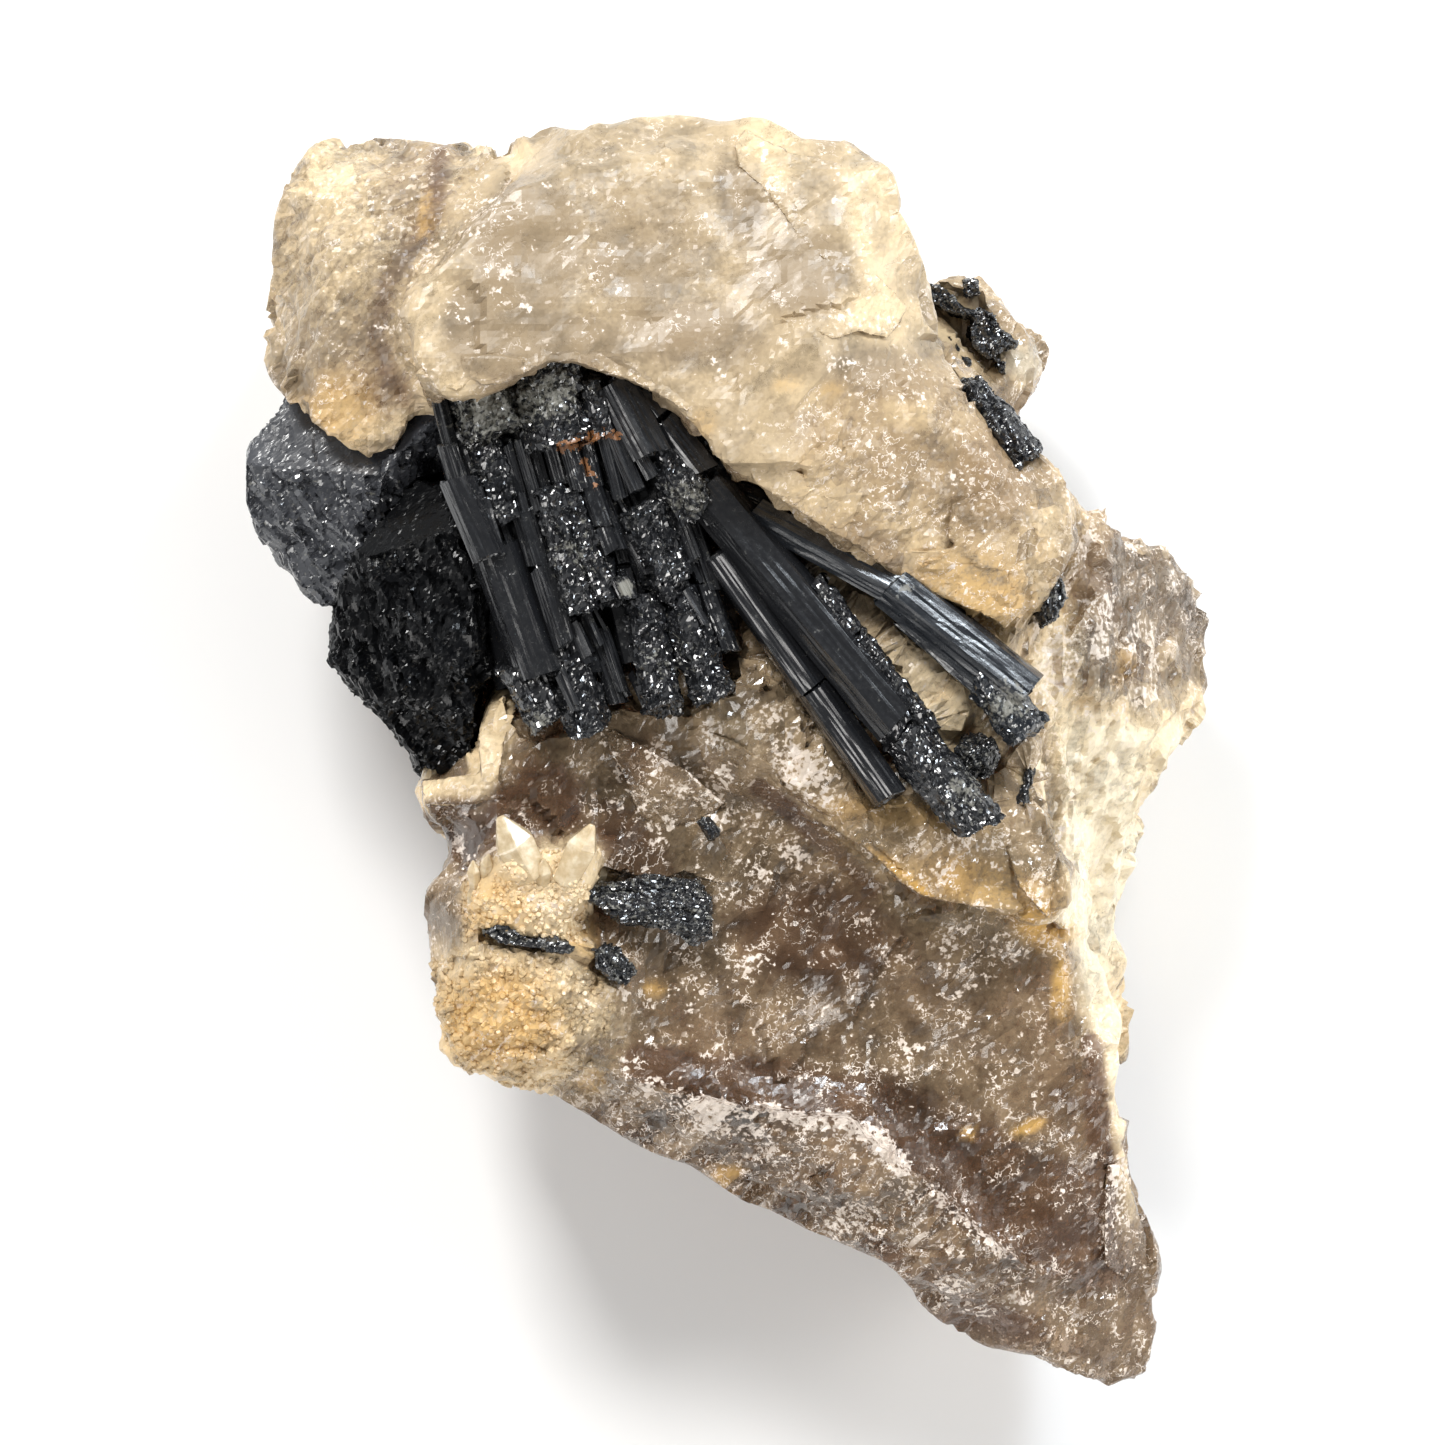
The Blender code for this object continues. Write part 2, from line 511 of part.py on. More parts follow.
def druse():
    """The crust of small pale quartz crystals, with two points that stand free, as overlapping shapes."""
    rng = random.Random(11)
    shapes = [block_crystal(DRUSE_OUTLINE, back=24, front=DRUSE_HEIGHT, narrow=0.96, faces=DRUSE_FACES)]
    for i in range(DRUSE_CRYSTALS):
        x, y = rng.uniform(*DRUSE_ACROSS), rng.uniform(*DRUSE_ALONG)
        end = (x + rng.uniform(*DRUSE_SWAY), y + rng.uniform(*DRUSE_REACH))
        front = DRUSE_HEIGHT + rng.uniform(*DRUSE_RISE)
        shapes.append(quartz_point((x, y), end, front, DRUSE_WIDTH, DRUSE_THICKNESS, seed=40 + i))
    shapes += [quartz_point(*row, seed=70 + i) for i, row in enumerate(DRUSE_POINTS)]
    return shapes


def quartz_body(pockets, into, finish):
    """All the smoky quartz crystals, grown together, with the pockets cut and a flat broken back at 0."""
    rough = fused(joined([block_crystal(**row) for row in QUARTZ.values()]), QUARTZ_GRAIN)
    roughened(rough, 3, QUARTZ_LUMPS)
    skin = fused(joined([rough] + druse()), DRUSE_GRAIN)
    skin = cleared(thinned(largest(skin), QUARTZ_DRAFT), pockets)
    skin = thinned(skin, QUARTZ_TRIANGLES)
    cut_face(skin, (0, 0, 0), Vector((0, 0, -1)))
    bmesh.ops.triangulate(skin, faces=skin.faces)
    return place("smoky_quartz", skin, into, finish)


def main():
    clear_scene()
    parts, cutters = collection("schorl_on_smoky_quartz"), collection("cutters")
    smoky = material("smoky_quartz", (0.30, 0.25, 0.19), 0.35)
    black = material("schorl", (0.012, 0.012, 0.014), 0.3)

    pockets = []
    for i, (name, crystals, triangles, grain) in enumerate(SCHORL):
        crystal = schorl(name, crystals, 100 * i + 100, triangles, parts, black, pockets, grain)
        pockets.append(pocket_cutter(crystal, cutters))
    quartz_body(pockets, parts, smoky)


main()
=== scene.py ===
"""Schorl on smoky quartz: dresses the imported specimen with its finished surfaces.

The smoky quartz is one clear, rough body with milky, smoky and amber zones. The schorl is a fan of
striated black prisms, two long rods, two coarse crystals at the left edge and a few small grains.
Places are in millimetres in the specimen's own frame, and MM turns them into metres.
"""

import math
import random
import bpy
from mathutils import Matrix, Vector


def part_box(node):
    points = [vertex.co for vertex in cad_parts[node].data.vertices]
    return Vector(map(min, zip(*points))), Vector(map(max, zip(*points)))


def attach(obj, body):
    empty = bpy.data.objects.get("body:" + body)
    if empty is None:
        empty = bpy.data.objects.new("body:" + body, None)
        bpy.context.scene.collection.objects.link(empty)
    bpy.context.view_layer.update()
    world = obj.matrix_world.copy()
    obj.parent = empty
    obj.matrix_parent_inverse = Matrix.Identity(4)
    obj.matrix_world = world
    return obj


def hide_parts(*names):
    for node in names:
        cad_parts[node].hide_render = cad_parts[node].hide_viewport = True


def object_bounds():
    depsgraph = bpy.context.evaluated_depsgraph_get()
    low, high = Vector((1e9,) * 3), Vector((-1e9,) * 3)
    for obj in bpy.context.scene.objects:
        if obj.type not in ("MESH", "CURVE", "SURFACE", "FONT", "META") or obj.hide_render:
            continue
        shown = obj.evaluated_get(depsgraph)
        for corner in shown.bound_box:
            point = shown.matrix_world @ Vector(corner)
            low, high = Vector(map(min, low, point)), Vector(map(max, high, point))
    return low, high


bl_info = {
    "name": "Schorl on Smoky Quartz",
    "version": (1, 0, 0),
    "blender": (4, 5, 0),
    "location": "View3D > Sidebar > Specimen",
    "description": "Dresses a smoky quartz specimen that carries a fan of schorl crystals",
    "category": "Add Mesh",
}

import bmesh
import bpy
import numpy as np
from bpy.props import FloatProperty, FloatVectorProperty, IntProperty, PointerProperty
from mathutils import Matrix, Vector, noise
from mathutils.bvhtree import BVHTree

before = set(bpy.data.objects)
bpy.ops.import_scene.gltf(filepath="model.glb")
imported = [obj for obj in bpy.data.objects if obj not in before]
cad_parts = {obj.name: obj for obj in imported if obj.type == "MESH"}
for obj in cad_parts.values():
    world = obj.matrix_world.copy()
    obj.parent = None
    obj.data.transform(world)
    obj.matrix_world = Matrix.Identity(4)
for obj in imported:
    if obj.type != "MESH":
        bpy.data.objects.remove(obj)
CAD_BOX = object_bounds()

MM = 0.001
BODY = "root"
QUARTZ_NODE = "smoky_quartz"
SCHORL_NODES = sorted(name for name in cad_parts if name.startswith("schorl_"))

# The photograph's frame: its pixels, how many make a millimetre, and the pixel over the origin
PHOTO_SIZE = 1445
PHOTO_SCALE = 15.5
PHOTO_ORIGIN = (736, 750)
MID_HEIGHT = 18.0

# Outlines of the quartz zones seen from the front, in millimetres
CROWN = [(-15, 41), (-4, 43), (4, 42), (11, 40), (14, 30), (14, 25), (9, 17), (-1, 16), (-4, 20),
         (-9, 24), (-15, 23), (-19, 20), (-21, 24), (-21.5, 27.5), (-18.5, 32)]
HORN = [(-15, 42), (-30, 42), (-33, 28), (-29, 20), (-24, 16), (-19, 21), (-21.5, 27), (-18.5, 32)]
# The strip of the horn beside the crown, which is painted in shade
GROOVE_SHADE = [(-22, 41), (-18.5, 38.5), (-17.6, 34), (-18.6, 31), (-21.5, 27), (-20.5, 23), (-23.5, 21),
          (-24.5, 27), (-21.6, 32), (-22.5, 36)]
SHOULDER = [(4, 22), (14, 25), (24, 17), (23, 9), (18.5, 6), (10.5, 9), (3, 15)]
LOBE = [(9.5, 12.5), (15, 15), (19.5, 11), (18.5, 6.5), (12, 9)]
FLANK = [(20.5, 19), (34, 15), (35, 3), (29, -2), (27, -20), (25.5, -30), (22, -16), (21.5, -9),
         (20.5, 0), (19, 6), (22, 12)]
FLANK_HEAD = [(21, 20), (34, 16), (34.8, 6.5), (31, 4), (27, 2.5), (23.5, 2.0), (21.6, 3.0), (21.3, 8), (21.6, 12)]
DRUSE = [(-17, -7.2), (-12.5, -5.6), (-8.5, -6), (-8.2, -7.6), (-9.9, -12.2), (-17, -12.4), (-17.4, -9)]
DOME = [(-17, -12), (-9, -13), (-7, -17), (-9, -22), (-16, -23), (-21, -18), (-20, -13)]
TABLE = [(-14, 6), (-3, 1), (8, -5), (17, -10), (23, -9), (22, 0), (19, 8), (9, 16), (-2, 18), (-14, 14)]
GROUND = [(5, 11), (15, 4), (17, 0), (13, -3), (4, 8)]
RIM = [(-21, -1.4), (-17, -1.4), (-16.5, 5), (-13.8, 5), (-14.4, 0), (-15.6, -3), (-21, -3.2)]
LIP = [(-12, -18.5), (-8.5, -20.0), (-3.6, -21.9), (0.3, -22.6), (4.1, -23.3), (7.0, -23.3), (9.0, -24.8),
       (10.6, -26.5), (12.5, -27.6), (13.8, -29.0), (15.4, -30.6), (17.7, -32.3), (19.6, -33.5), (18, -36.5),
       (12, -36), (8, -33), (0, -29), (-6, -26), (-12, -23)]
REAR = [(10, 33), (22, 29), (22, 22), (14, 24)]
OVER_RODS = [(-3.2, 20.5), (4.5, 18.5), (4.5, 15.6), (0.2, 16.8), (-2.6, 17.8)]
STEP = [(4, -2), (8, -5), (13, -8.5), (19, -9.5), (22.5, -9), (22.5, -12.5), (18, -12), (12, -11), (6, -7)]

# Lines that the silhouette follows, seen from the front: how near a steep point must be to be drawn onto
# one, the height it starts at, and the line.
EDGES = [
    (1.3, 8, [
        (-28.4, 22.0), (-30.0, 23.9), (-30.6, 26.0), (-30.4, 27.5), (-29.7, 31.0), (-29.5, 34.1),
        (-28.8, 36.4), (-27.2, 38.6), (-26.2, 39.2), (-24.9, 39.5), (-23.0, 39.2), (-21.7, 39.1),
        (-20.1, 38.9), (-18.5, 38.6), (-17.7, 39.0), (-16.8, 38.8), (-15.3, 38.5)]),
    (1.5, 20, [
        (-14.8, 38.9), (-14.6, 39.0), (-13.5, 39.1), (-13.3, 39.5), (-12.3, 39.9), (-11.4, 39.7),
        (-10.7, 39.4), (-9.7, 39.3), (-9.0, 39.8), (-8.0, 39.7), (-6.2, 40.2), (-4.9, 40.3), (-3.9, 40.5),
        (-2.3, 40.2), (-1.0, 39.9), (-0.1, 40.0), (1.2, 40.3), (1.9, 40.1), (2.6, 39.7), (3.4, 39.3),
        (4.1, 38.8), (6.6, 38.6), (7.2, 38.9), (8.0, 39.0), (8.6, 38.8), (9.4, 37.9), (10.1, 36.3),
        (10.5, 34.6), (10.3, 34.1), (10.9, 33.2), (11.4, 32.1), (11.9, 30.8), (12.4, 29.5), (12.8, 27.4),
        (12.8, 26.1)]),
    (1.3, 5, [
        (23.2, 16.3), (23.8, 15.8), (24.8, 15.5), (26.1, 14.8), (27.0, 14.4), (28.0, 13.5), (29.3, 13.0),
        (29.9, 12.8), (30.6, 12.3), (31.0, 11.0), (31.2, 8.4), (31.4, 6.8), (31.5, 5.5), (31.4, 4.8),
        (30.6, 4.0), (30.1, 3.2), (29.3, 2.7), (28.3, 2.4), (27.4, 1.6), (26.9, 0.6), (26.4, -0.1),
        (25.9, -1.9), (25.8, -3.2), (25.2, -5.5), (24.8, -7.7), (24.6, -9.0), (24.5, -11.9), (24.1, -13.2),
        (23.7, -14.2), (23.9, -15.2), (24.3, -16.1), (24.8, -17.1), (24.8, -18.1), (24.5, -19.0),
        (24.6, -20.0), (24.3, -21.6), (24.3, -22.6), (24.6, -23.9)]),
    (1.3, 4, [
        (-11.4, -22.3), (-9.4, -23.5), (-7.5, -24.8), (-5.2, -25.9), (-3.0, -26.6), (-1.5, -27.6),
        (0.6, -29.0), (2.5, -29.7), (4.5, -30.8), (6.4, -31.5), (8.3, -32.4), (9.3, -32.8), (10.3, -33.5),
        (11.4, -34.8), (11.7, -35.5), (12.8, -36.6), (14.8, -37.9), (16.4, -38.6), (19.6, -39.0),
        (22.5, -40.2), (24.1, -41.2)]),
]

# Steps in the quartz: the height of the step, how far back it slopes away, and its line. The raised
# side is on the left of the line's direction.
SCARPS = [
    (1.0, 4.0, [
        (5.9, -5.0), (7.7, -5.9), (9.3, -7.2), (10.6, -8.5), (11.7, -9.2), (13.2, -9.6)]),
    (1.9, 2.0, [
        (20.6, -34.0), (19.6, -33.5), (17.7, -32.3), (15.4, -30.6), (13.8, -29.0), (12.5, -27.6), (10.6, -26.5),
        (9.0, -24.8), (7.5, -23.7), (6.7, -23.1), (4.1, -23.4), (2.8, -22.8), (0.3, -22.6), (-3.6, -21.9),
        (-8.5, -20.2)]),
    (0.8, 1.8, [
        (24.8, -33.8), (24.1, -31.0), (23.8, -26.8), (23.4, -23.2), (22.2, -20.0), (21.0, -16.1),
        (21.0, -13.5), (21.9, -11.2), (22.3, -7.8), (21.7, -3.3), (20.8, 0.1), (20.1, 3.5), (19.0, 7.8)]),
    (0.9, 2.5, [
        (19.0, 7.1), (21.0, 9.7), (21.4, 10.2), (22.1, 12.5), (21.9, 14.8), (21.2, 16.8)]),
    (1.0, 3.0, [
        (-15.0, 38.2), (-14.5, 36.6), (-14.3, 36.0), (-15.2, 35.0), (-16.8, 33.2), (-18.1, 31.6),
        (-19.7, 31.0), (-20.6, 29.4), (-21.4, 27.4), (-21.6, 25.9), (-20.9, 24.6), (-19.7, 23.5),
        (-19.1, 21.4)]),
    (0.5, 2.0, [
        (2.2, 26.8), (3.5, 27.4), (5.4, 27.9), (7.4, 28.3), (9.3, 27.9), (10.9, 26.8)]),
    (0.7, 2.0, [
        (18.3, 6.8), (17.7, 10.3), (16.4, 12.5), (14.2, 13.0), (12.5, 12.3), (10.8, 11.1)]),
    (0.4, 2.5, [
        (-17.2, 30.6), (-15.9, 27.7), (-16.6, 26.1), (-15.2, 24.4)]),
]

# Rims that are white and broken, partly white quartz and partly a painted highlight on the lit crest of a step: half
# width, strength and line
WHITE_AND_LIT_RIMS = [
    (0.55, 1.2, [(-3.6, -22.3), (0.3, -22.9), (2.8, -23.1), (4.1, -23.6), (6.7, -23.4), (7.5, -23.9), (9.0, -25.0), (10.6, -26.6)]),
    (0.35, 1.0, [(12.5, -27.9), (13.8, -29.3), (15.4, -30.9), (17.7, -32.6)]),
    (0.22, 1.0, [(-6.2, 0.3), (-4.6, -0.5), (-3.0, -1.3), (-2.0, -2.3), (-0.9, -3.4)]),
    (0.22, 0.7, [(-8.7, 1.1), (-8.0, -0.1), (-7.0, -1.9), (-6.2, -3.4)]),
    (0.40, 0.5, [(-14.3, 36.0), (-15.2, 35.0), (-16.8, 33.2), (-18.1, 31.6), (-19.7, 31.0)]),
    (0.35, 0.5, [(-20.4, 29.4), (-21.2, 27.4), (-21.4, 25.9), (-20.7, 24.8), (-19.5, 23.7), (-18.8, 22.2)]),
    (0.25, 0.35, [(6.1, -4.9), (7.7, -5.8), (9.3, -7.1), (10.6, -8.4), (11.7, -9.1), (13.2, -9.5), (18.4, -10.2)]),
    (0.30, 0.7, [(18.3, -8.7), (19.9, -10.5), (21.2, -11.5)]),
    (0.30, 0.8, [(21.0, 16.5), (21.7, 14.8), (22.1, 12.9), (21.8, 11.0), (21.3, 9.7)]),
    (0.30, 0.7, [(19.0, 7.8), (20.1, 3.5), (20.8, 0.1), (21.7, -3.3), (22.3, -7.8), (21.9, -11.2)]),
    (0.30, 0.8, [(24.4, -26.8), (24.2, -28.6), (23.7, -30.2), (23.7, -32.6)]),
]

# Painted shade: dark bands along the foot of a step, where shade falls: half width, strength and line
SHADE_SEAMS = [
    (1.0, 1.0, [(-6.0, -20.0), (0.6, -21.4), (4.3, -22.1), (7.4, -22.3), (9.9, -23.9), (11.6, -25.6), (13.5, -26.8),
                (15.0, -28.1), (16.6, -29.8), (18.9, -31.6), (20.6, -32.6)]),
    (0.5, 0.35, [(-18.7, 38.9), (-18.8, 35.6), (-19.6, 33.1), (-20.9, 31.6), (-22.2, 29.6), (-22.9, 26.6),
                (-22.1, 24.2), (-20.7, 22.0)]),
    (0.5, 1.0, [(22.8, -18.7), (23.2, -22.0), (23.4, -26.0), (23.0, -29.5), (22.6, -31.8)]),
    (0.5, 0.9, [(1.5, -2.4), (4.5, -4.8), (6.5, -6.6), (8.8, -8.8)]),
]

# Plates of quartz that stand out of its skin: how thick each is, and its corners seen from the front with
# how high each stands over the skin
SHARDS = [
    (1.6, [
        (-19.4, 21.6, 0.2), (-17.6, 22.6, 0.2), (-16.5, 23.4, 0.2), (-16.1, 22.9, 0.2), (-14.3, 23.1, 0.2),
        (-13.0, 23.9, 0.2), (-11.9, 24.5, 0.2), (-12.6, 27.2, -0.4), (-15.4, 26.4, -0.4), (-18.2, 25.4, -0.4),
        (-20.2, 23.8, 0.0)]),
    (1.6, [
        (-11.9, 24.5, 0.2), (-10.1, 24.4, 0.2), (-8.8, 23.6, 0.2), (-6.8, 23.3, 0.2), (-4.3, 22.1, 0.2),
        (-3.0, 21.2, 0.2), (-2.4, 23.6, -0.4), (-5.6, 25.8, -0.4), (-9.0, 27.0, -0.4), (-11.9, 27.2, -0.4)]),
    (1.6, [
        (-1.6, 17.9, 0.1), (1.2, 16.8, 0.2), (4.8, 14.5, 0.2), (8.0, 12.6, 0.2), (10.0, 11.2, 0.2),
        (11.4, 12.8, -0.4), (8.0, 15.4, -0.4), (4.0, 17.6, -0.4), (0.2, 19.4, -0.4)]),
    (3.0, [
        (0.6, -2.6, -0.5), (3.4, -3.9, 0.2), (6.1, -5.0, 0.5), (7.7, -5.9, 0.6), (9.3, -7.2, 0.7), (10.6, -8.5, 0.8),
        (11.7, -9.2, 0.7), (13.2, -9.6, 0.6), (16.4, -10.1, 0.4), (18.4, -10.3, 0.1), (19.0, -7.6, -0.2),
        (17.4, -4.6, -0.5), (13.6, -4.4, -0.5), (9.8, -4.2, -0.5), (6.1, -2.6, -0.5)]),
    (2.6, [
        (17.2, -6.3, 0.2), (18.0, -8.7, 0.8), (19.6, -10.5, 0.9), (21.2, -11.6, 0.7), (22.1, -11.0, 0.3),
        (22.4, -8.4, 0.1), (20.6, -6.2, 0.2), (18.8, -5.2, -0.3)]),
    (2.4, [
        (-8.3, 1.6, 0.0), (-6.2, 0.4, 0.5), (-4.6, -0.5, 0.6), (-3.0, -1.3, 0.7), (-2.0, -2.3, 0.7), (-0.6, -3.4, 0.4),
        (-2.4, -4.5, -0.2), (-4.8, -5.0, -0.3), (-6.3, -4.0, 0.2), (-7.0, -2.0, 0.3), (-8.0, -0.2, 0.3)]),
    (2.0, [
        (-2.8, 1.8, -0.3), (0.2, 0.4, 0.3), (2.2, -0.8, 0.5), (3.0, -2.4, 0.3), (1.2, -3.2, -0.2), (-0.6, -2.6, 0.1),
        (-2.2, -0.6, 0.2)]),
    (3.0, [
        (9.4, 11.3, 0.1), (10.9, 10.4, 0.4), (12.5, 9.9, 0.5), (14.5, 9.1, 0.6), (16.1, 8.4, 0.5), (17.0, 7.7, 0.3),
        (18.2, 9.0, 0.3), (18.6, 11.0, 0.3), (16.4, 12.4, 0.2), (13.6, 12.8, 0.2), (11.0, 12.6, 0.1)]),
    (2.6, [
        (0.6, 39.4, 0.05), (-0.1, 38.4, 0.14), (0.1, 36.9, 0.14), (1.5, 35.7, 0.15), (2.8, 34.1, 0.1), (3.9, 32.3, 0.0),
        (6.2, 30.4, -0.4), (8.8, 31.0, -0.4), (8.8, 35.0, -0.4), (6.6, 37.2, -0.3), (3.4, 37.8, 0.0)]),
    (2.4, [
        (4.4, 29.2, -0.3), (6.6, 30.6, -0.1), (9.0, 30.0, 0.0), (10.9, 28.0, 0.08), (9.6, 26.0, 0.0), (7.6, 26.4, 0.0),
        (6.2, 25.8, 0.0), (4.6, 26.6, 0.0), (3.6, 26.2, 0.0), (2.6, 27.8, -0.2)]),
    (2.0, [
        (-17.4, 24.8, 0.1), (-15.4, 25.0, 0.4), (-13.4, 24.6, 0.4), (-13.3, 23.7, 0.4), (-15.0, 23.1, 0.4),
        (-16.8, 23.5, 0.2)]),
    (2.6, [
        (-16.0, 3.6, 0.9), (-15.2, 4.5, 1.0), (-14.2, 4.1, 1.0), (-13.9, 3.0, 0.9), (-14.7, 0.6, 0.7),
        (-15.0, -1.7, 0.5), (-16.2, -1.9, 0.5), (-16.4, 0.8, 0.8)]),
    (2.4, [
        (-20.2, -1.9, 0.3), (-17.8, -1.6, 0.5), (-15.1, -1.6, 0.4), (-14.6, -3.0, 0.2), (-17.0, -3.5, 0.2),
        (-19.8, -3.5, 0.1)]),
    (2.4, [
        (23.8, -26.6, 0.6), (24.6, -26.6, 0.5), (25.6, -28.6, 0.3), (26.4, -31.2, 0.2), (26.6, -33.4, 0.1),
        (25.2, -34.4, 0.4), (23.7, -33.0, 0.7), (23.6, -30.2, 0.8)]),
    (2.2, [
        (13.6, 15.6, 0.3), (16.0, 16.6, 0.4), (18.6, 14.0, 0.4), (18.2, 11.2, 0.5), (15.4, 11.6, 0.5), (13.4, 13.4, 0.4)]),
]
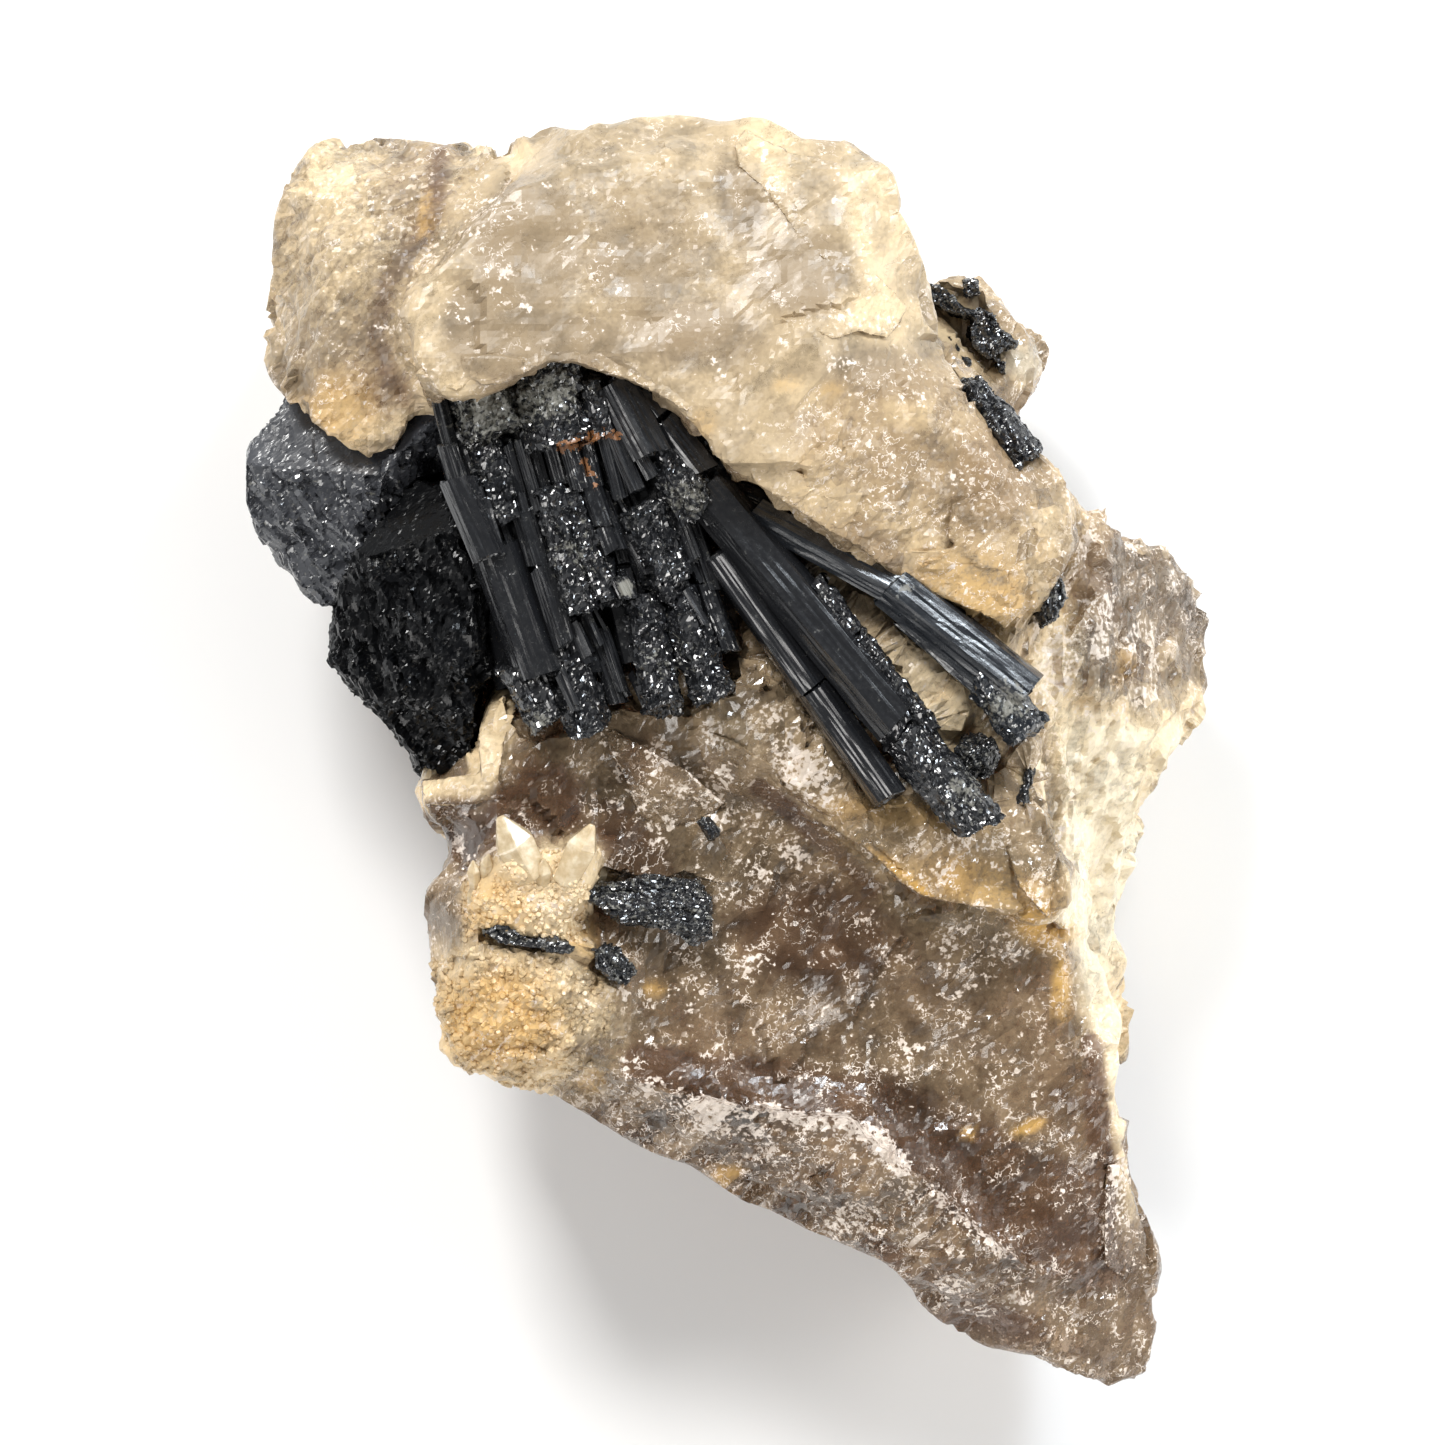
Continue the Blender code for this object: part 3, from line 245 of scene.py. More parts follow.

# Patches in the quartz, seen from the front: middle, half width, half height, turn in degrees and
# strength. A veil is white and dense, smoke is dark and clear and in a few places painted shade, amber
# is iron stain, pale is cream and dim is a greyer milk.
PATCHES = {
    "veil": [
        (20.8, 6.0, 1.2, 2.6, -15, 0.9), (24.0, 10.0, 0.45, 2.4, 0, 0.8), (27.0, 5.5, 0.5, 2.0, 5, 0.7),
        (29.5, 8.0, 0.5, 2.0, 8, 0.7), (25.5, 13.5, 0.4, 1.4, 0, 0.7), (22.6, 13.2, 0.4, 1.8, 0, 0.7),
        (3.8, -1.0, 3.0, 1.2, -50, 1.0), (1.9, 2.3, 1.2, 0.8, -30, 0.9), (5.1, -2.6, 1.4, 0.8, -40, 1.0),
        (-1.5, 1.3, 0.6, 1.2, 20, 0.8), (-0.9, -1.8, 0.9, 0.9, 0, 0.9), (-7.8, -1.3, 0.5, 1.9, 0, 0.7),
        (-5.9, -3.2, 0.5, 1.4, -20, 0.6), (-4.6, -5.2, 1.2, 1.5, 0, 0.55), (-7.5, -3.2, 0.8, 0.9, 0, 0.5),
        (-0.1, -4.2, 1.6, 0.6, 10, 0.55), (1.9, -5.3, 1.3, 0.6, 0, 0.5), (3.8, -6.5, 1.2, 1.0, 0, 0.9),
        (1.2, -7.7, 1.4, 0.6, -20, 0.9), (-0.1, -9.0, 0.6, 0.4, 0, 0.8), (-3.4, -2.6, 2.6, 0.5, -35, 0.5),
        (-2.0, -6.5, 0.6, 1.8, 0, 0.35), (6.1, -8.4, 0.8, 0.5, 0, 0.7), (8.6, -11.3, 0.6, 1.3, 0, 0.5),
        (10.1, -13.2, 1.0, 0.5, 0, 0.9), (13.5, -13.2, 0.6, 1.8, -15, 0.65), (14.1, -15.5, 1.5, 0.3, 10, 0.7),
        (16.7, -12.3, 0.8, 1.2, -30, 0.5), (17.7, -13.2, 0.9, 0.6, 0, 0.5), (16.1, -14.5, 0.6, 0.5, 0, 0.8),
        (12.8, -7.7, 1.4, 0.6, 10, 0.8), (14.8, -6.1, 2.5, 0.5, 5, 0.7), (17.0, -7.2, 1.5, 0.4, 0, 0.5),
        (8.6, -4.0, 0.6, 0.4, 0, 0.6), (0.3, -13.5, 2.2, 1.7, 0, 0.42), (-3.0, -16.5, 0.5, 0.4, 0, 1.0),
        (-7.5, -15.5, 1.2, 0.5, -20, 0.7), (-3.9, -15.2, 0.8, 0.8, 0, 0.55), (1.9, -18.4, 1.0, 0.6, 0, 0.5),
        (10.9, -19.2, 0.8, 0.7, 0, 0.8), (10.6, -20.5, 1.9, 0.3, 0, 0.65), (8.6, -18.7, 0.9, 0.5, 30, 0.5),
        (8.3, -16.1, 1.3, 0.4, -20, 0.45), (4.5, -21.0, 0.5, 0.5, 0, 0.6), (16.4, -20.6, 0.8, 0.6, 0, 0.5),
        (18.3, -19.4, 0.5, 0.4, 0, 0.5), (-0.1, -23.9, 2.7, 1.3, -15, 1.0), (-2.3, -22.6, 1.8, 0.8, 30, 0.6),
        (-5.5, -21.6, 1.4, 0.6, 35, 0.65), (1.5, -25.8, 1.8, 0.9, 0, 0.7), (5.1, -23.9, 1.4, 0.8, -20, 0.9),
        (3.5, -23.1, 1.9, 0.3, 0, 0.5), (7.2, -23.6, 1.3, 0.5, -15, 0.5), (8.0, -25.2, 0.9, 0.6, 0, 0.5),
        (4.8, -28.1, 2.5, 1.0, -30, 0.5), (7.4, -30.0, 2.5, 0.9, -10, 0.6), (9.3, -30.6, 0.6, 0.5, 0, 0.8),
        (10.6, -28.1, 1.8, 0.6, -30, 0.4), (13.5, -31.9, 0.5, 0.3, 0, 0.8), (17.4, -31.9, 0.8, 0.4, 40, 0.5),
        (13.5, -34.5, 1.2, 1.1, 0, 1.0), (14.8, -35.6, 1.5, 0.5, -20, 0.45), (18.6, -35.3, 0.6, 0.4, 0, 0.6),
        (24.6, -29.0, 0.5, 2.5, -8, 0.7), (24.1, -31.9, 0.5, 1.2, 0, 0.6), (25.4, -33.2, 1.0, 0.5, 0, 0.5),
        (22.5, -19.0, 0.5, 0.9, 0, 0.6), (23.5, -16.8, 0.6, 1.8, 10, 0.45), (20.3, 6.1, 0.9, 1.0, 0, 0.9),
        (21.3, 5.0, 0.8, 0.6, 0, 0.8), (20.8, -5.7, 0.5, 1.0, 0, 0.8), (19.9, -1.3, 0.5, 1.3, 0, 0.45),
        (3.2, 25.8, 0.7, 0.5, 0, 0.8), (6.7, 24.4, 0.8, 0.6, 0, 0.7), (8.6, 27.1, 2.5, 0.6, -10, 0.6),
        (-1.0, 24.4, 0.9, 0.5, 0, 0.6), (-5.2, 26.1, 0.4, 0.6, 0, 0.6), (-14.5, 30.1, 0.5, 0.4, 0, 1.0),
        (-15.0, 29.0, 0.4, 0.5, 0, 1.0), (-13.3, 27.9, 0.5, 0.3, 0, 1.0), (-17.2, 27.6, 0.3, 1.2, 35, 0.7),
        (-3.0, 35.5, 0.8, 0.3, -20, 0.7), (2.2, 35.5, 0.3, 0.6, 40, 0.8), (3.2, 33.2, 0.3, 0.6, 40, 0.8),
        (1.7, 37.7, 0.3, 1.0, 10, 0.7), (2.1, 30.0, 0.5, 0.4, 0, 0.7), (2.5, 28.8, 0.3, 0.5, 0, 0.8),
        (1.5, 27.7, 0.4, 0.3, 0, 0.7), (-7.5, 29.0, 0.4, 0.3, 0, 0.7), (6.4, 34.8, 0.3, 0.3, 0, 1.0),
        (-15.9, 34.5, 1.7, 0.6, 35, 0.6), (-16.5, 32.9, 1.4, 0.5, 20, 0.6), (-19.1, 31.9, 0.9, 0.5, 0, 0.5),
        (-22.6, 26.9, 1.0, 0.3, 0, 0.7), (10.9, 22.3, 0.9, 0.6, 0, 0.7), (14.1, 17.4, 0.9, 0.5, 20, 0.5),
        (20.9, -22.3, 0.5, 0.6, 0, 0.5), (19.6, -18.1, 0.5, 0.5, 0, 0.5), (-17.9, -6.1, 0.5, 0.5, 0, 1.0),
        (-11.4, -10.0, 1.3, 0.8, 0, 0.5),
        (23.2, 6.8, 0.9, 1.2, 20, 0.8), (25.4, 7.2, 0.7, 1.0, -20, 0.7), (24.2, 4.4, 1.0, 0.7, 10, 0.7),
        (26.2, 3.4, 0.8, 0.6, 0, 0.6), (28.4, 10.8, 0.4, 1.2, 10, 0.6), (22.4, 9.6, 0.4, 0.8, 0, 0.7)],
    "smoke": [
        (23.0, 9.8, 1.8, 2.6, 10, 0.55), (24.6, 5.6, 2.2, 1.4, 0, 0.45), (16.2, 17.2, 2.6, 2.8, -30, 0.25),
        (8.0, 12.8, 3.6, 1.5, -33, 0.30), (-17.0, -5.6, 1.8, 1.5, 0, 0.8),
        (-12.7, -3.7, 3.2, 1.4, -10, 0.9), (-18.0, -4.6, 1.6, 2.2, 0, 0.6),
        # The three patches on the next line lie in the band just above the lip: partly smoky quartz, partly painted
        # shade where the surface dips away from the light.
        (1.0, -21.0, 5.6, 1.2, -6, 1.0), (10.6, -22.8, 3.2, 1.4, -35, 0.8), (17.0, -28.2, 7.6, 2.6, -38, 1.0),
        (23.4, -25.0, 0.7, 6.0, 4, 1.0), (-6.8, -6.1, 2.6, 1.5, -35, 1.0), (-11.7, -2.6, 2.2, 1.5, -30, 0.9), (-14.3, -4.8, 1.9, 1.5, 0, 1.0), (-18.0, -5.2, 1.8, 1.6, 0, 0.9),
        (-7.8, -3.9, 1.3, 0.6, -20, 0.7), (4.8, -11.6, 4.9, 3.4, -20, 0.6), (20.3, -29.8, 3.1, 3.0, 0, 0.9), (11.5, -9.4, 1.9, 0.6, -30, 0.8), (-9.4, -19.2, 1.5, 0.7, 0, 0.6),
        (9.3, -31.9, 1.5, 0.5, -30, 0.7), (17.0, -36.8, 3.2, 1.0, -15, 0.4), (-6.2, -0.6, 1.3, 1.7, -30, 0.35),
        # The first patch on the next line is painted shade by the groove between horn and crown.
        (-19.1, 36.8, 0.6, 2.6, 0, 0.4), (-22.6, 22.6, 1.7, 1.3, 0, 0.4)],
    "amber": [
        (10.6, -7.9, 2.7, 0.3, -38, 1.0), (10.6, -4.2, 5.0, 0.9, -8, 0.45), (15.7, -8.4, 4.3, 1.4, -10, 0.55),
        (19.6, -11.3, 1.8, 1.3, -30, 0.9), (20.8, -15.2, 0.6, 2.2, 0, 0.9), (14.8, -24.6, 0.6, 0.4, 0, 1.0),
        (18.8, -24.2, 1.1, 0.4, 20, 1.0), (-15.2, -17.1, 4.0, 3.2, 0, 0.75), (-5.2, -15.2, 0.8, 0.5, 0, 0.7),
        (-2.0, 20.6, 0.8, 0.8, 0, 0.7), (3.2, 23.1, 0.9, 0.6, 0, 0.6), (6.1, 22.7, 0.8, 0.5, 0, 0.6),
        (14.8, 9.7, 3.9, 2.6, 0, 0.9), (24.8, 5.2, 0.9, 1.3, 0, 0.6), (-25.2, 21.3, 2.2, 2.6, 0, 0.5),
        (-19.7, 33.9, 0.5, 1.7, 0, 0.5), (1.2, 40.1, 0.6, 0.3, 0, 0.6), (-0.4, -27.0, 0.9, 0.4, 0, 0.7),
        (-9.4, -21.3, 0.9, 0.8, 0, 0.5), (-15.2, -10.0, 1.9, 2.2, 0, 0.6), (-9.4, -12.3, 0.6, 1.5, 0, 0.5)],
    "pale": [
        (20.6, 14.0, 1.3, 2.2, -10, 0.8), (11.0, 21.2, 1.6, 1.0, -20, 0.6), (4.4, 22.4, 1.8, 1.0, -15, 0.5),
        (18.8, 25.0, 1.2, 1.2, 0, 1.6),
        (2.2, 38.1, 2.3, 2.3, 0, 0.8), (8.8, 32.9, 1.7, 5.3, 12, 0.65), (9.9, 27.4, 3.4, 1.5, -10, 0.8),
        (-13.8, 38.1, 1.2, 1.4, 0, 0.7), (-19.7, 27.7, 1.7, 3.0, 0, 0.3), (-6.2, 40.1, 3.9, 0.8, 5, 0.5),
        (-17.8, 22.3, 1.9, 0.9, -20, 0.5), (23.5, -4.5, 2.2, 9.7, 0, 1.0), (19.6, 12.3, 1.3, 3.9, 0, 0.6),
        (-24.9, 20.6, 1.9, 1.9, 0, 0.6), (-26.2, 36.8, 2.6, 1.9, 0, 0.6), (-17.2, -18.7, 2.6, 1.9, 0, 0.4)],
    "dim": [
        (16.2, 17.2, 2.8, 3.0, -30, 0.6), (8.2, 12.6, 2.8, 1.8, -30, 0.5), (20.0, 21.5, 2.0, 2.4, 0, 0.4),
        (15.5, 27.4, 4.0, 4.0, 0, 0.4),
        (-13.3, 31.6, 3.2, 4.0, 0, 0.7), (-5.5, 31.6, 4.0, 3.9, 0, 0.4), (-16.5, 26.8, 1.9, 2.2, 0, 0.8),
        (4.1, 30.0, 3.2, 2.5, 0, 0.7), (0.3, 34.8, 1.4, 3.2, 10, 0.5), (-12.0, 25.6, 6.0, 1.8, 0, 0.6),
        (-3.0, 26.4, 4.5, 2.2, 0, 0.6), (-27.0, 24.0, 3.0, 4.0, 0, 0.7), (8.0, 20.0, 5.0, 3.0, -30, 0.5), (-13.3, 24.5, 3.9, 1.2, 0, 0.6),
        (9.3, 23.5, 3.2, 1.7, -10, 0.7), (10.6, 7.1, 3.9, 3.2, -40, 0.5), (26.7, 9.7, 3.2, 2.6, 0, 0.7),
        (24.1, 12.3, 1.9, 1.9, 0, 0.6)],
}

# Each schorl prism: start and end as seen from the front, the height of its front face, its width, its
# depth, how broken its surface is from 0 to 1, the pieces that cross-fractures part it into, and how
# many degrees its front face is turned towards its right.
FAN = [
    ((-16.1, 22.9), (-15.1, 19.5), 37.4, 5.0, 4.4, 1.0, 1, -6),
    ((-12.0, 25.0), (-11.2, 19.4), 38.2, 4.6, 4.8, 1.0, 1, 4),
    ((-9.5, 23.9), (-8.5, 19.9), 37.4, 2.3, 4.4, 0.7, 1, 8),
    ((-7.7, 23.6), (-5.0, 18.4), 37.7, 2.7, 5.0, 0.1, 1, 16),
    ((-6.0, 22.7), (-2.2, 17.8), 37.2, 2.6, 5.0, 0.1, 2, 22),
    ((-4.6, 19.4), (-2.2, 14.9), 37.4, 3.5, 5.4, 0.9, 1, 6),
    ((-8.5, 20.4), (-7.4, 16.0), 36.4, 1.0, 4.0, 0.0, 1, -14),
    ((-7.8, 20.4), (-6.2, 16.4), 36.9, 1.1, 4.0, 0.0, 1, 18),
    ((-7.0, 20.6), (-5.3, 17.3), 37.2, 0.9, 4.0, 0.0, 1, 26),
    ((-18.3, 19.4), (-17.4, 16.5), 36.2, 1.3, 4.0, 0.0, 1, -12),
    ((-18.8, 22.2), (-17.9, 18.6), 35.6, 1.0, 4.0, 0.0, 1, -22),
    ((-17.6, 17.2), (-15.5, 12.2), 36.7, 2.2, 5.0, 0.0, 1, 5),
    ((-16.0, 19.4), (-14.4, 14.6), 36.1, 2.7, 4.6, 1.0, 1, 0),
    ((-14.5, 19.4), (-13.2, 14.6), 35.7, 0.9, 4.0, 0.0, 2, 12),
    ((-13.7, 19.5), (-12.4, 15.0), 36.1, 0.8, 4.0, 0.0, 1, -10),
    ((-12.9, 19.2), (-12.0, 15.9), 35.5, 1.1, 4.0, 0.2, 2, 20),
    ((-11.7, 19.4), (-11.0, 16.8), 36.3, 1.2, 4.0, 0.1, 1, -8),
    ((-10.6, 19.5), (-9.8, 16.7), 36.7, 1.2, 4.0, 0.4, 1, 14),
    ((-9.6, 19.6), (-8.9, 16.7), 36.2, 1.0, 4.0, 0.5, 1, 0),
    ((-12.0, 16.9), (-9.8, 8.8), 36.9, 2.5, 5.4, 1.0, 1, -4),
    ((-10.6, 16.4), (-8.1, 9.1), 36.6, 2.4, 5.4, 1.0, 1, 8),
    ((-9.6, 17.4), (-8.0, 12.8), 36.3, 1.8, 4.6, 0.35, 2, 10),
    ((-8.6, 16.2), (-7.2, 12.6), 35.8, 1.1, 4.0, 0.1, 1, -12),
    ((-7.8, 14.0), (-6.6, 9.6), 34.9, 1.3, 4.0, 0.1, 2, 16),
    ((-6.0, 15.4), (-4.0, 10.7), 36.7, 3.9, 5.4, 1.0, 1, 2),
    ((-4.4, 16.4), (-2.7, 11.8), 35.7, 1.4, 4.4, 0.15, 1, 18),
    ((-3.0, 14.6), (-1.6, 10.4), 34.9, 1.3, 4.4, 0.2, 1, 10),
    ((-15.3, 13.2), (-12.2, 4.4), 35.7, 3.5, 5.0, 0.05, 1, -5),
    ((-13.3, 15.0), (-10.8, 6.6), 36.0, 1.6, 5.0, 0.15, 2, 14),
    ((-11.3, 8.8), (-9.4, 1.2), 35.3, 3.1, 5.0, 0.85, 1, 6),
    ((-13.7, 5.6), (-11.6, 1.6), 34.8, 3.4, 4.8, 1.0, 1, -8),
    ((-9.3, 8.4), (-7.5, 3.0), 34.1, 1.3, 4.0, 0.1, 2, 12),
    ((-8.4, 7.6), (-7.1, 3.6), 34.6, 0.8, 4.0, 0.0, 1, -14),
    ((-6.1, 10.1), (-4.6, 2.5), 36.3, 2.9, 5.4, 1.0, 1, -3),
    ((-4.1, 10.7), (-1.5, 3.2), 36.1, 3.0, 5.4, 1.0, 1, 7),
    ((-2.0, 10.4), (-0.5, 6.2), 34.8, 1.6, 4.4, 0.5, 1, 12),
    ((-7.4, 10.9), (-6.8, 9.6), 36.7, 1.2, 1.6, 0.2, 1, 8),
]
STAINS = [(-10.9, 19.2, 0.9), (-10.0, 19.4, 0.9), (-9.1, 19.8, 0.8), (-8.2, 20.0, 0.8), (-7.5, 19.9, 0.7),
          (-9.6, 18.2, 0.7), (-9.2, 17.4, 0.7), (-8.9, 16.6, 0.5)]
DUSTY = [(-15.8, 21.6, 4.2, 0.50), (-11.6, 22.6, 3.8, 0.40), (-7.0, 10.3, 0.9, 0.9), (-12.6, 1.6, 2.2, 0.30),
         (-3.0, 16.0, 2.6, 0.35), (-10.2, 12.5, 3.0, 0.25), (-4.0, 6.0, 3.5, 0.2)]
FAN_CORE = [
    ((-15.0, 22.5), (-10.6, 4.5), 33.9, 9.0, 8.0, 0.4, 1, 0),
    ((-8.5, 23.5), (-4.4, 6.5), 34.2, 9.0, 8.5, 0.4, 1, 0),
    ((-3.6, 20.0), (0.6, 14.4), 33.8, 5.0, 7.0, 0.4, 1, 0),
]
FAN_OUTLINE = [(-18, 21), (-12, 24.5), (-6, 22), (-2.5, 17), (-1.2, 9), (-3, 4), (-11, 2.5), (-14.5, 8)]
ROD_PAIR = [
    ((-1.2, 12.6), (9.7, -3.0), 35.7, 2.1, 4.6, 0.0, 2, -14),
    ((-1.9, 16.6), (10.2, 1.8), 36.6, 3.3, 5.2, 0.0, 1, 3),
    ((-1.0, 14.6), (11.4, -0.6), 36.0, 1.7, 4.4, 0.05, 1, 2),
    ((8.8, 3.4), (15.6, -4.9), 36.4, 3.3, 4.8, 0.7, 2, 10),
    ((10.4, -0.2), (14.2, -4.4), 35.6, 1.8, 4.4, 0.8, 1, -6),
    ((4.9, 10.6), (12.6, 0.8), 36.3, 1.6, 4.8, 0.85, 2, 14),
]
BLUE_ROD = [
    ((1.0, 15.1), (10.7, 9.7), 35.9, 2.2, 4.2, 0.0, 1, 26),
    ((-0.4, 16.5), (8.0, 12.4), 34.6, 1.5, 3.6, 0.3, 1, -6),
    ((9.8, 10.5), (18.4, 3.6), 36.0, 3.1, 4.4, 0.0, 1, 21),
    ((10.4, 8.4), (16.4, 3.1), 34.9, 1.5, 3.8, 0.2, 1, -24),
    ((15.6, 4.8), (18.6, 0.9), 35.7, 3.3, 4.2, 0.75, 1, 4),
]

# The two coarse crystals at the left edge: each block's outline seen from the front, its back and front,
# and the planes that cut it, each a point, a dip and the bearing that it dips towards in degrees. The
# first plane of the side crystal is its striated upper facet.
SIDE_CRYSTAL = [
    dict(outline=[(-28.4, 22.8), (-29.8, 21.1), (-31.8, 18.4), (-31.7, 16.1), (-30.2, 13.6), (-28.2, 11.0),
                  (-26.6, 9.3), (-24.6, 9.8), (-23.0, 13.6), (-18.9, 21.0), (-19.5, 24.5), (-25.0, 25.5)],
         back=10, front=34,
         faces=[((-28.6, 19.8, 27.4), 28, 122), ((-22.0, 16.6, 30.2), 24, 218), ((-26.5, 12.0, 26.4), 40, 228),
                ((-22.4, 15.4, 29.6), 66, 335), ((-31, 17, 17), 112, 190)]),
    dict(outline=[(-20.6, 21.6), (-18.0, 21.8), (-18.2, 18.2), (-20.8, 16.6), (-23.0, 14.6), (-24.4, 14.2),
                  (-22.6, 17.6)],
         back=14, front=33.4,
         faces=[((-20.6, 18.6, 31.6), 34, 140), ((-20, 18.5, 29.4), 58, 318)]),
]
LOWER_CRYSTAL = [
    dict(outline=[(-24.4, 12.6), (-25.6, 9.8), (-25.9, 5.9), (-25.2, 4.6), (-23.2, 2.8), (-21.2, 0.3),
                  (-20.4, -1.5), (-16.8, -1.2), (-16.7, 0.7), (-16.4, 3.9), (-15.5, 5.0), (-15.8, 7.0),
                  (-15.6, 10.5), (-16.4, 12.1), (-17.4, 12.9), (-18.6, 16.6), (-20.2, 17.4), (-22.6, 14.8)],
         back=12, front=36,
         faces=[((-19.5, 9, 31.8), 17, 208), ((-25, 6, 18), 110, 190), ((-24, 8, 29.4), 46, 196),
                ((-21.2, 1.6, 28.6), 48, 240), ((-20, 15.5, 30.8), 40, 128), ((-17, 9, 32.6), 32, 352)]),
    dict(outline=[(-21.5, 9.6), (-18.0, 13.4), (-16.8, 11.6), (-16.2, 6.0), (-18.6, 2.6), (-21.0, 4.5)],
         back=20, front=35,
         faces=[((-18.6, 8.2, 32.9), 12, 170), ((-20.2, 7.0, 32.0), 52, 214)]),
]

# The two pale points and the small ones beside them: start, tip, height of the front over the skin at the
# start, width, depth, and where the pointed end starts
PALE_POINTS = [
    ((-12.9, -8.0), (-15.0, -4.2), 1.3, 2.9, 2.5, 0.56),
    ((-10.9, -8.4), (-9.1, -4.7), 1.2, 2.2, 2.1, 0.64),
    ((-8.9, -8.9), (-8.5, -6.9), 0.8, 1.1, 1.1, 0.60),
    ((-16.6, -9.0), (-16.7, -7.0), 0.8, 0.9, 1.0, 0.70),
    ((-16.0, -8.0), (-15.7, -6.6), 0.8, 0.9, 1.0, 0.65),
    ((-16.8, -10.9), (-16.8, -8.6), 0.7, 0.7, 0.8, 0.75),
    ((-12.3, -8.6), (-12.2, -6.9), 0.9, 1.2, 1.2, 0.60),
]

# The black grains of the rear crystal, seen from the front
REAR_GRAINS = [
    [(12.0, 30.3), (13.2, 29.9), (14.2, 29.0), (14.9, 28.5), (15.9, 28.3), (15.6, 27.7), (14.2, 28.0), (12.8, 28.9),
     (12.0, 29.4)],
    [(14.7, 30.3), (15.5, 30.3), (15.7, 29.4), (14.9, 29.2)],
    [(15.4, 28.5), (16.6, 28.2), (17.2, 27.0), (18.3, 26.2), (17.2, 25.8), (16.4, 25.2), (15.4, 26.0), (15.1, 27.2)],
    [(12.7, 27.0), (13.8, 26.7), (14.2, 25.7), (13.4, 25.4)],
    [(14.3, 25.2), (15.1, 25.2), (15.5, 24.2), (14.9, 24.0)],
    [(16.7, 25.3), (17.5, 25.1), (17.5, 24.2), (16.9, 24.2)],
]

# Where small crystals crowd: outline, how many, smallest and largest radius
SUGAR = [
    ([(-17.2, -9.4), (-15.6, -8.9), (-12.6, -8.3), (-9.4, -8.9), (-9.6, -12.2), (-13.0, -12.6), (-17.4, -12.2)],
     260, 0.16, 0.34),
    ([(-15.9, -9.6), (-15.3, -7.6), (-13.6, -6.4), (-11.4, -6.2), (-9.8, -7.4), (-9.0, -9.4)], 130, 0.12, 0.26),
    ([(-17.4, -12.6), (-12.0, -13.2), (-8.6, -14.0), (-7.6, -16.6), (-9.4, -20.6), (-13.0, -22.0), (-17.2, -22.0),
      (-19.4, -18.0), (-19.6, -13.4)], 620, 0.15, 0.36),
    ([(-17.6, -7.2), (-16.2, -7.2), (-16.2, -11.0), (-17.6, -11.0)], 40, 0.16, 0.34),
]

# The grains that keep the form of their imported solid: node, voxel of its skin, the
# direction of its grain, the size of its splinters, and how deep they are, in millimetres
BLOCKS = [
    ("schorl_shoulder_grain", 0.14, (0.5, -0.8, 0.2), 0.7, 0.30),
    ("schorl_middle_speck", 0.09, (0.5, -0.8, 0.0), 0.4, 0.18),
    ("schorl_table_sliver", 0.09, (0.2, -1.0, 0.0), 0.4, 0.18),
]

# The grains that are cut anew: node, outline, back, front, planes, and the direction of the grain
CUT_GRAINS = [
    ("schorl_seam_crystal",
     [(-9.7, -9.2), (-8.6, -8.5), (-6.6, -8.3), (-4.9, -8.0), (-2.5, -8.2), (-1.5, -9.7), (-1.7, -11.9),
      (-2.7, -12.3), (-4.5, -11.5), (-7.2, -11.0), (-8.8, -9.9)], 28.2, 31.3,
     [((-5.5, -10.2, 31.2), 10, 60), ((-5.5, -11.2, 30.9), 34, 268)], (1.0, -0.1, 0.0)),
    ("schorl_seam_grain",
     [(-9.1, -12.7), (-8.3, -12.3), (-7.4, -12.6), (-6.4, -14.2), (-7.0, -15.0), (-8.0, -14.4), (-8.8, -13.8)],
     29.0, 31.7, [((-7.8, -13.6, 31.6), 16, 20)], (0.7, -0.7, 0.0)),
    ("schorl_green_needle",
     [(-16.2, -11.5), (-15.2, -11.0), (-14.4, -11.1), (-13.3, -11.8), (-12.3, -12.1), (-11.2, -12.2),
      (-10.1, -12.4), (-10.4, -12.9), (-12.1, -12.6), (-13.7, -12.5), (-15.2, -12.1)], 30.0, 32.2,
     [((-13.5, -11.9, 32.1), 12, 250)], (1.0, -0.2, 0.0)),
    ("schorl_knob",
     [(15.3 + 1.45 * math.cos(math.tau * k / 9), -0.4 + 1.45 * math.sin(math.tau * k / 9)) for k in range(9)],
     31.0, 34.2,
     [((15.3, -0.4, 34.0), 8, 40), ((16.2, -0.2, 33.5), 48, 350), ((15.0, 0.5, 33.5), 48, 110),
      ((14.5, -0.8, 33.4), 48, 215), ((15.6, -1.3, 33.4), 50, 285)], (0.4, -0.6, 0.5)),
    ("schorl_flank_grain",
     [(18.8, 10.2), (19.6, 11.2), (20.6, 10.8), (20.9, 9.7), (20.3, 8.3), (19.4, 7.8), (18.9, 8.9)], 28.4, 32.9,
     [((19.8, 9.6, 32.6), 22, 30), ((19.3, 9.0, 32.2), 46, 200)], (0.1, -0.9, 0.3)),
]


